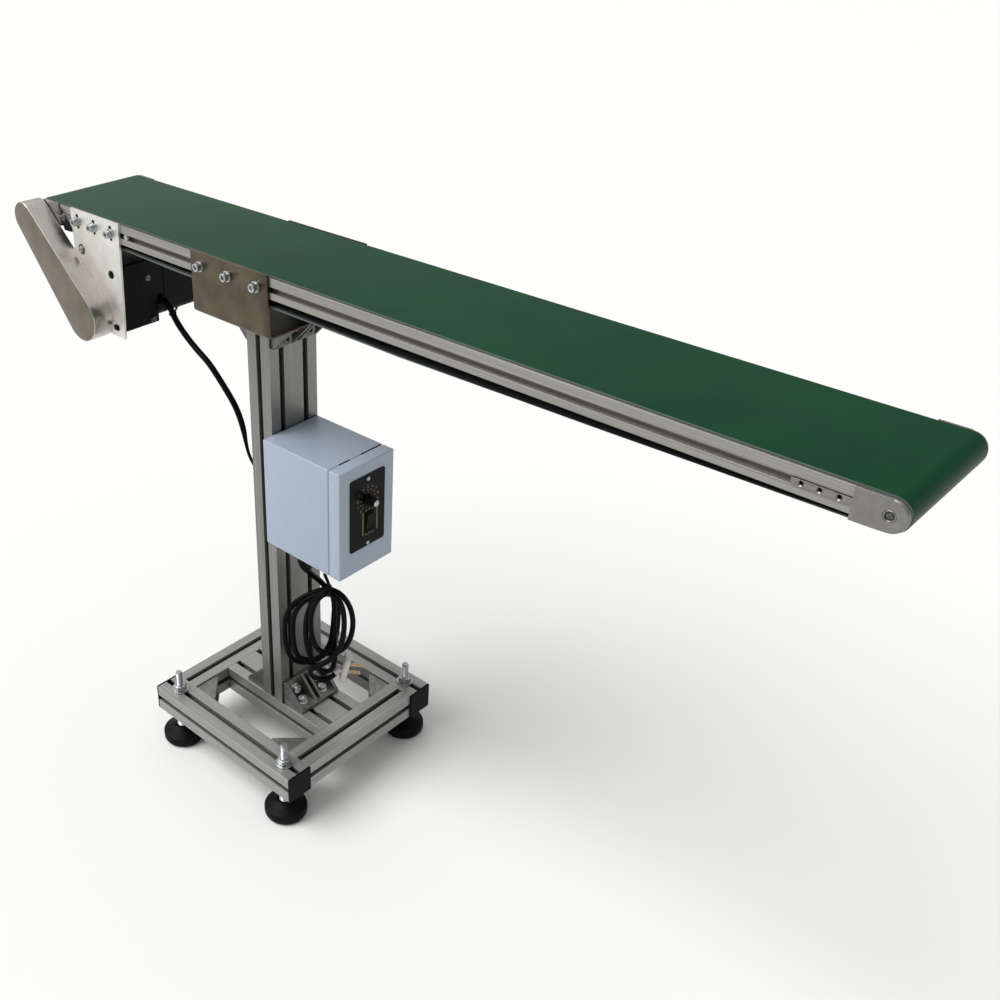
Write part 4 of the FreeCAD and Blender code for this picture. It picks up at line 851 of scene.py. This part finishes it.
def outline_edges(node):
    """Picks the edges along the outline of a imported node's box."""
    low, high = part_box(node)

    def chosen(edge):
        shared = 0
        for axis in range(3):
            for level in (low[axis], high[axis]):
                if all(abs(v.co[axis] - level) < LEVEL_MARGIN * MM for v in edge.verts):
                    shared += 1
        return shared >= 2
    return chosen


for node, name in (("control_box", "box_shell"), ("box_lid", "box_door")):
    folded = rounded_edges(packed(node), outline_edges(node), BOX_EASE)
    dressed(node, name, box_finish, 0.3, 2, folded)
# Painted shade: thin black boxes fill the two hinge slits between shell and lid.
painted_slit_shade = boxes("painted_slit_shade", [((SLIT_BACK, left, SLIT_BOTTOM), (SLIT_FRONT, right, SLIT_TOP), 0)
                      for left, right in HINGE_SLITS])
new_piece("hinge_slits", painted_slit_shade, nylon)
panel_finish = moulded_plastic("printed_black_panel", PANEL_DARK, PANEL_LIGHT, 0.32, 0.08)
dressed("speed_panel", "speed_panel_plate", panel_finish, 0.3)
dressed("speed_unit", "speed_unit_case", nylon, 0.6)

print_finish, tree, shader, place = new_finish("gold_screen_print")
wear = noise(tree, place, 2, 3)
tone = two_tones(tree, wear, PRINT_WORN, PRINT_GOLD)
wire(tree, shader, {"Base Color": tone, "Roughness": 0.35, "Metallic": 0.5})


def on_panel(y, z):
    """A point of the panel's print, in millimetres."""
    return Vector((PANEL_FRONT + PRINT_HEIGHT, y, z))


def printed_bar(edit, centre, direction, length, width):
    """One printed bar on the panel, thin as ink."""
    across = Vector((1, 0, 0)).cross(direction)
    corners = [centre + direction * a * length / 2 + across * b * width / 2
               for a, b in ((-1, -1), (1, -1), (1, 1), (-1, 1))]
    edit.faces.new([edit.verts.new(corner * MM) for corner in corners])


ink = bmesh.new()
for i in range(DIAL_NUMBERS):
    angle = math.radians(DIAL_START - DIAL_STEP * i)
    out = Vector((0, math.cos(angle), math.sin(angle)))
    printed_bar(ink, on_panel(DIAL_Y, DIAL_Z) + out * TICK_RADIUS, out, TICK_LENGTH, TICK_WIDTH)
    digits = bpy.data.curves.new("digits", "FONT")
    digits.body = str(i)
    digits.size = DIGIT_SIZE * MM
    digits.align_x = "CENTER"
    digits.align_y = "CENTER"
    digits.extrude = DIGIT_DEPTH * MM
    writing = bpy.data.objects.new("digits", digits)
    flat = bpy.data.meshes.new_from_object(writing)
    bpy.data.objects.remove(writing)
    middle = (on_panel(DIAL_Y, DIAL_Z) + out * DIGIT_RADIUS) * MM
    flat.transform(Matrix(((0, 0, 1, middle.x), (1, 0, 0, middle.y), (0, 1, 0, middle.z),
                           (0, 0, 0, 1))))
    ink.from_mesh(flat)
for y, z, height, width in PRINTED_BARS:
    printed_bar(ink, on_panel(y, z), Vector((0, 0, 1)), height, width)
new_piece("panel_print", mesh_from(ink, "panel_print"), print_finish, "lid")

dial_place = [((PANEL_FRONT, DIAL_Y, DIAL_Z), (1, 0, 0))]
fluted = turned("knob", KNOB_PROFILE, dial_place, KNOB_STEPS, KNOB_FLUTE)
knob_body = new_piece("speed_dial_knob", fluted, nylon, "lid")
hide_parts("speed_knob")
knob_metal = plated_steel("spun_aluminium_cap", ZINC_DARK, ZINC_LIGHT)
knob_cap = turned("cap", KNOB_CAP, dial_place, KNOB_STEPS)
new_piece("speed_dial_cap", knob_cap, knob_metal, "lid")
screws("panel_screws", [((PANEL_FRONT, PANEL_SCREW_Y, z), (1, 0, 0)) for z in PANEL_SCREW_LEVELS],
       PANEL_SCREW, zinc, "lid")

rocker_rows = [((PANEL_FRONT + back, ROCKER_Y + left, ROCKER_Z + bottom),
                (PANEL_FRONT + front, ROCKER_Y + right, ROCKER_Z + top), lean)
               for left, bottom, right, top, back, front, lean in ROCKER_BOXES]
rocker = eased(new_piece("rocker_switch_key", boxes("rocker", rocker_rows), nylon, "lid"), 0.4)
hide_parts("rocker_switch")


# Leads
# The motor lead leaves its gland in a sleeve and runs behind the column into the box. The
# mains lead leaves the box by a gland with a bend guard, is wound into a loose coil held by
# a tie, and ends in its two-pin plug. Both sheaths are smooth black PVC.
HANK_TURN = math.radians(47)
HANK_CENTRE = Vector((70, -12, 240))
# Routes are control points in mm, the motor lead's in the frame's own axes.
SLEEVE_ROUTE = ((-222, -10, 633), (-216.5, -10, 632), (-211, -10, 627.5), (-206, -10, 620.5),
                (-198, -10, 609), (-181, -10, 594.5), (-158, -10, 580), (-134, -10, 568.5),
                (-108, -10, 545.5), (-83, -10, 521), (-70.5, -10, 494), (-66, -10, 467))
MOTOR_LEAD_ROUTE = ((-66, -10, 467), (-60, -9, 450), (-50, -4, 432), (-42, 10, 416),
                    (-35, 31, 407), (-21, 51, 402), (3, 62, 402), (27, 69, 408), (45, 71, 419),
                    (56, 68, 431), (61.5, 59.5, 440), (61.5, 47.5, 440))
MAINS_ROUTE = (
    # across, up and back in the coil's plane, mm
    (-22, 121.5, 0), (-22, 112, 0), (-20, 100, 2), (-14, 88.5, 6), (-5, 76, 11), (4, 64, 16))
TAIL_ROUTE = ((26, 60, -20), (32, 46, -22), (34, 22, -23), (32, -6, -23), (25, -28, -22.5),
              (12, -44, -21), (-2, -53, -19), (-12, -62, -14.5), (-14.5, -74, -8),
              (-8.5, -86, -2.5), (0, -91.5, 0), (9.2, -91.7, 0), (17, -88.5, 0), (22.5, -82, 0))
TURNS = (
    # leftmost, rightmost and lowest of each loose turn, and where it is lowest, mm
    (-48, 20, -65, -20), (-36.5, 26, -59, -14), (-19, 21, -79, 10), (-12, 46.5, -45, 15))
POINTS_PER_TURN, TURN_FULLNESS = 16, 0.75
# The coil's top, the depth from turn to turn, how far back the first turn starts, the lean
COIL_TOP, COIL_PITCH, COIL_BACK, COIL_LEAN = 60, 9, 18, -0.6
# Where the tie is across the coil, how many degrees of a turn it holds to each side, how
# far it sets the turns apart, and the share by which it draws them together
TIE_X, TIE_SPREAD, TIE_STEP, TIE_PINCH = 14, 34, 2.8, 0.16
MAINS_DIAMETER, SLEEVE_DIAMETER, MOTOR_LEAD_DIAMETER = 7.6, 8.4, 4.4


def hank(across, up, back=0):
    """A point of the coil's upright plane, moved back from the viewer."""
    return HANK_CENTRE + Matrix.Rotation(HANK_TURN, 3, "Z") @ Vector((across, back, up))


def lead(name, route, radii, finish):
    """A lead as one smooth spline with the route as its control points, in millimetres."""
    curve = bpy.data.curves.new(name, "CURVE")
    curve.dimensions = "3D"
    curve.bevel_depth = MM
    curve.bevel_resolution = 5
    curve.resolution_u = 6
    curve.use_fill_caps = True
    spline = curve.splines.new("NURBS")
    spline.points.add(len(route) - 1)
    for point, place, radius in zip(spline.points, route, radii):
        point.co = (*(Vector(place) * MM), 1)
        point.radius = radius
    spline.order_u = 3
    spline.use_endpoint_u = True
    curve.materials.append(finish)
    piece = bpy.data.objects.new(name, curve)
    bpy.context.collection.objects.link(piece)
    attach(piece, "frame")
    return piece


def centre_line(piece):
    """The points of a lead's centre line, read from its spline."""
    bare = piece.data.copy()
    bare.bevel_depth = 0
    probe = bpy.data.objects.new("centre_line", bare)
    line = bpy.data.meshes.new_from_object(probe)
    bpy.data.objects.remove(probe)
    return [vertex.co.copy() for vertex in line.vertices]


def line_length(points):
    """The length along a row of points, in metres."""
    return sum((b - a).length for a, b in zip(points, points[1:]))


def loose_turn(turn):
    """The point of the coil after so many turns. Each turn hangs from the tie its own way."""
    left, right, lowest, lowest_x = TURNS[min(int(turn), len(TURNS) - 1)]
    angle = math.pi / 2 - math.tau * turn
    side, rise = math.cos(angle), math.sin(angle)
    centre = (left + right) / 2
    if rise > 0:
        drawn = (TIE_X - centre) * rise ** (2 if side > 0 else 4)
    else:
        drawn = (lowest_x - centre) * rise ** 2
        side = math.copysign(abs(side) ** TURN_FULLNESS, side)
    off_tie = (math.degrees(angle) - 90 + 180) % 360 - 180
    held = math.exp(-(off_tie / TIE_SPREAD) ** 2)
    middle = COIL_BACK - COIL_PITCH * len(TURNS) / 2
    back = middle + (COIL_BACK - COIL_PITCH * turn - middle) * (1 - TIE_PINCH * held ** 2)
    nested = TIE_STEP * held * (1 if round(turn) % 2 else -1)
    high = (COIL_TOP - lowest) / 2
    across = centre + (right - left) / 2 * side + drawn + nested * side
    return hank(across, (COIL_TOP + lowest) / 2 + COIL_LEAN * back + (high + nested) * rise, back)


sheath = moulded_plastic("smooth_black_pvc_sheath", "#030303", "#060606", 0.4, 0.08)
coil = [loose_turn(i / POINTS_PER_TURN) for i in range(POINTS_PER_TURN * len(TURNS) + 1)]
mains_route = [hank(*point) for point in MAINS_ROUTE] + coil + [hank(*p) for p in TAIL_ROUTE]
mains = lead("mains_lead_coiled", mains_route, [MAINS_DIAMETER / 2] * len(mains_route), sheath)
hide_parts("mains_lead", "lead_coil")
motor_route = SLEEVE_ROUTE[:-1] + MOTOR_LEAD_ROUTE
motor_radii = ([SLEEVE_DIAMETER / 2] * len(SLEEVE_ROUTE[:-1])
               + [MOTOR_LEAD_DIAMETER / 2] * len(MOTOR_LEAD_ROUTE))
motor_lead = lead("sleeved_motor_lead", motor_route, motor_radii, sheath)
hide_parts("motor_lead")
for node, name in (("motor_gland", "motor_cable_gland"), ("box_gland", "box_cable_gland"),
                   ("mains_gland", "mains_cable_gland")):
    dressed(node, name, nylon, 0.5)

# The moulded plug: a flat rounded body with an angled neck, in pale, slightly cloudy PVC.
PLUG_CENTRE, PLUG_LEAN = (35.9, -72.1), math.radians(12)
NECK_LEAN, BLOCKINESS, PLUG_SIDES = math.radians(40), 0.55, 36
PLUG_LIGHT, PLUG_DARK = "#C8C5C4", "#B4B1AF"
BRASS_LIGHT, BRASS_DARK = "#C6B08E", "#A48C6A"
PLUG_ROWS = (
    # distance along, half thickness, half width, mm
    (-22, 2.4, 7), (-21.4, 3.6, 9), (-19, 4.3, 10.8), (-10, 4.6, 11.6), (10, 4.6, 11.6),
    (19, 4.3, 10.8), (21.4, 3.6, 9), (22, 2.4, 7))
NECK_ROWS = ((0, 4.2, 4.2), (0.6, 4.8, 4.8), (3, 4.8, 4.8), (3.6, 4.3, 4.3), (4.6, 4.3, 4.3),
             (5.2, 4.9, 4.9), (12, 4.6, 6.5))


def hank_way(lean):
    """The direction in the coil's plane that leans so far from upright."""
    return hank(math.sin(lean), math.cos(lean)) - HANK_CENTRE


def lofted(rows, start, lean, squareness):
    """The rings of a block along a leaning line, each (distance, half thickness, half width)."""
    along, across = hank_way(lean), hank_way(lean + math.pi / 2)
    depth = along.cross(across)
    rings = []
    for distance, thick, wide in rows:
        ring = []
        for i in range(PLUG_SIDES):
            angle = math.tau * i / PLUG_SIDES
            side, rise = math.cos(angle), math.sin(angle)
            ring.append(start + along * distance
                        + across * thick * math.copysign(abs(side) ** squareness, side)
                        + depth * wide * math.copysign(abs(rise) ** squareness, rise))
        rings.append(ring)
    return rings


pale = moulded_plastic("pale_moulded_pvc_plug", PLUG_DARK, PLUG_LIGHT, 0.3, 0.5)
plug_rings = [lofted(PLUG_ROWS, hank(*PLUG_CENTRE), PLUG_LEAN, BLOCKINESS),
              lofted(NECK_ROWS, Vector(mains_route[-1]), NECK_LEAN, 1)]
plug = new_piece("two_pin_plug", skinned("plug", plug_rings), pale)
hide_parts("plug")
brass, tree, shader, place = new_finish("bright_brass_pins")
dull = noise(tree, place, 3, 3)
tone = two_tones(tree, dull, BRASS_DARK, BRASS_LIGHT)
wire(tree, shader, {"Base Color": tone, "Roughness": 0.28, "Metallic": 1.0})
pins = dressed("plug_pins", "plug_prongs", brass, 0.3)


# Ribbed bend guard on the mains lead below its gland, tapered along the lead, and the ties:
# nylon straps drawn round the coil and round the motor's lead, each with its cut tail.
GUARD_LENGTH, GUARD_ROOT, GUARD_TIP, GUARD_RIB, GUARD_PITCH = 32, 6.4, 4.6, 0.7, 4
TIE_UP, TIE_HALF_RUN, TIE_RADIUS, TIE_WIDTH, TIE_THICKNESS = 60.5, 14, 7.6, 4.5, 1.3
TIE_TAIL = ((14, 75, -14), (12.5, 83, -14), (10, 90, -13), (8, 95, -11))
TIE_HEAD, TIE_HEAD_WIDTH, TIE_HEAD_THICKNESS = ((14, 72, -14), (14, 77, -14)), 7, 5
MOTOR_TIE, MOTOR_TIE_SLACK = Vector((-205, -10, 619)), 0.5
MOTOR_TIE_TAIL = ((3.8, -1, 2.6), (9, -2, 7), (13, -2, 13))
MOTOR_TIE_WIDTH, MOTOR_TIE_THICKNESS = 3.2, 1.1


def evenly(points, step, length):
    """Points a step apart along a line, in millimetres, up to a length from its start."""
    found, travelled = [], 0.0
    for a, b in zip(points, points[1:]):
        run = (b - a).length / MM
        while len(found) * step <= min(travelled + run, length):
            share = (len(found) * step - travelled) / run
            found.append((a + (b - a) * share) / MM)
        travelled += run
    return found


def tube(points, radii, steps=28):
    """The rings of a tube along points, in millimetres, with its own radius at each."""
    rings = []
    side = Vector((1, 0, 0))
    for i, (point, radius) in enumerate(zip(points, radii)):
        way = (points[min(i + 1, len(points) - 1)] - points[max(i - 1, 0)]).normalized()
        side = (side - way * side.dot(way)).normalized()
        up = way.cross(side)
        rings.append([point + side * radius * math.cos(math.tau * j / steps)
                      + up * radius * math.sin(math.tau * j / steps) for j in range(steps)])
    return rings


def strap(points, across, width, thickness):
    """The rings of a flat strap along points, its width along one direction."""
    rings = []
    for i, point in enumerate(points):
        way = points[min(i + 1, len(points) - 1)] - points[max(i - 1, 0)]
        out = way.cross(across).normalized()
        rings.append([point + across * width * a / 2 + out * thickness * b / 2
                      for a, b in ((-1, -1), (1, -1), (1, 1), (-1, 1))])
    return rings


def loop(centre, along, over, half_run, radius, steps=40):
    """The points of a strap's round-ended loop about a centre."""
    points = []
    for i in range(steps):
        angle = math.tau * (i + 0.5) / steps
        run = math.copysign(half_run, math.cos(angle)) + radius * math.cos(angle)
        points.append(centre + along * run + over * radius * math.sin(angle))
    return points


guard_line = evenly(centre_line(mains), 1, GUARD_LENGTH)
guard_radii = [GUARD_ROOT + (GUARD_TIP - GUARD_ROOT) * i / GUARD_LENGTH
               - (GUARD_RIB if i % GUARD_PITCH >= GUARD_PITCH / 2 else 0)
               for i in range(len(guard_line))]
guard = new_piece("mains_bend_guard", skinned("guard", [tube(guard_line, guard_radii)]), nylon)

tie_axis = hank(1, 0) - HANK_CENTRE
slope = (hank(0, COIL_LEAN, 1) - HANK_CENTRE).normalized()
tie_loop = loop(hank(TIE_X, TIE_UP), slope, slope.cross(tie_axis), TIE_HALF_RUN, TIE_RADIUS)
tie_tail = strap([hank(*point) for point in TIE_TAIL], tie_axis, TIE_WIDTH, TIE_THICKNESS)
tie_head = strap([hank(*point) for point in TIE_HEAD], tie_axis, TIE_HEAD_WIDTH,
                 TIE_HEAD_THICKNESS)
coil_tie = joined("tie", [
    skinned("tie_loop", [strap(tie_loop, tie_axis, TIE_WIDTH, TIE_THICKNESS)], True),
    skinned("tie_tail", [tie_tail, tie_head])])
new_piece("coil_tie", coil_tie, nylon)

lead_way = (Vector(SLEEVE_ROUTE[4]) - Vector(SLEEVE_ROUTE[3])).normalized()
level = Vector((0, 1, 0))
small_loop = loop(MOTOR_TIE, level, lead_way.cross(level), 0,
                  SLEEVE_DIAMETER / 2 + MOTOR_TIE_SLACK)
small_tail = [MOTOR_TIE + Vector(step) for step in MOTOR_TIE_TAIL]
small_tie = joined("small_tie", [
    skinned("small_loop", [strap(small_loop, lead_way, MOTOR_TIE_WIDTH, MOTOR_TIE_THICKNESS)],
            True),
    skinned("small_tail", [strap(small_tail, level, MOTOR_TIE_WIDTH, MOTOR_TIE_THICKNESS)])])
new_piece("motor_lead_tie", small_tie, nylon)

mains_length = line_length(centre_line(mains))
motor_lead_length = line_length(centre_line(motor_lead))


# Studio
# Pale seamless floor, a broad key light from the drive side, a bright ceiling and horizon
# with grey walls between them, and the camera at the photograph's angle.
FLOOR_COLOUR, FLOOR_HALF = "#DDDDDB", 30
KEY_STRENGTH, KEY_SPREAD, KEY_DIRECTION = 2.8, 45, (0.34, 0.5, -0.8)
CAMERA_PLACE, CAMERA_TURN = (1.008233, -0.919855, 1.209976), (58.26011, 0.58177, 45.1111)
LENS, SENSOR_WIDTH, SHIFT_X, SHIFT_Y = 42.5387, 36, 0.174345, 0.025686
NEAREST, FARTHEST = 0.05, 80

floor_mesh = bpy.data.meshes.new("floor")
floor_mesh.from_pydata([(x * FLOOR_HALF, y * FLOOR_HALF, 0)
                        for x, y in ((-1, -1), (1, -1), (1, 1), (-1, 1))], [], [(0, 1, 2, 3)])
floor = bpy.data.objects.new("studio_floor", floor_mesh)
bpy.context.collection.objects.link(floor)
floor_finish, tree, shader, place = new_finish("pale_studio_floor")
wire(tree, shader, {"Base Color": linear(FLOOR_COLOUR), "Roughness": 0.9,
                    "Specular IOR Level": 0.1})
floor_mesh.materials.append(floor_finish)

world = bpy.data.worlds.new("studio")
bpy.context.scene.world = world
world.use_nodes = True
tree = world.node_tree
sky = add(tree, "ShaderNodeTexCoord")
axes = add(tree, "ShaderNodeSeparateXYZ", {"Vector": (sky, "Generated")})
ceiling = remap(tree, (axes, "Z"), 0.05, 0.8, 0.1, 0.95, interpolation_type="SMOOTHSTEP")
window = remap(tree, (axes, "X"), 0.0, 0.4, -0.1, -0.95)
horizon = remap(tree, (axes, "Z"), 0.6, 0.0, 0.08, 0.36, interpolation_type="SMOOTHSTEP")
walls = maths(tree, "ADD", horizon, window)
glow = maths(tree, "ADD", ceiling, walls)
wire(tree, tree.nodes["Background"], {"Color": glow, "Strength": 1.0})

key = bpy.data.lights.new("key_light", "SUN")
key.energy = KEY_STRENGTH
key.angle = math.radians(KEY_SPREAD)
lamp = bpy.data.objects.new("key_light", key)
bpy.context.collection.objects.link(lamp)
lamp.rotation_euler = Vector(KEY_DIRECTION).to_track_quat("-Z", "Y").to_euler()

camera_data = bpy.data.cameras.new("camera")
camera_data.lens = LENS
camera_data.sensor_width = SENSOR_WIDTH
camera_data.shift_x = SHIFT_X
camera_data.shift_y = SHIFT_Y
camera_data.clip_start = NEAREST
camera_data.clip_end = FARTHEST
camera = bpy.data.objects.new("camera", camera_data)
bpy.context.collection.objects.link(camera)
camera.location = CAMERA_PLACE
camera.rotation_euler = [math.radians(angle) for angle in CAMERA_TURN]
bpy.context.scene.camera = camera
bpy.context.scene.view_settings.view_transform = "Standard"
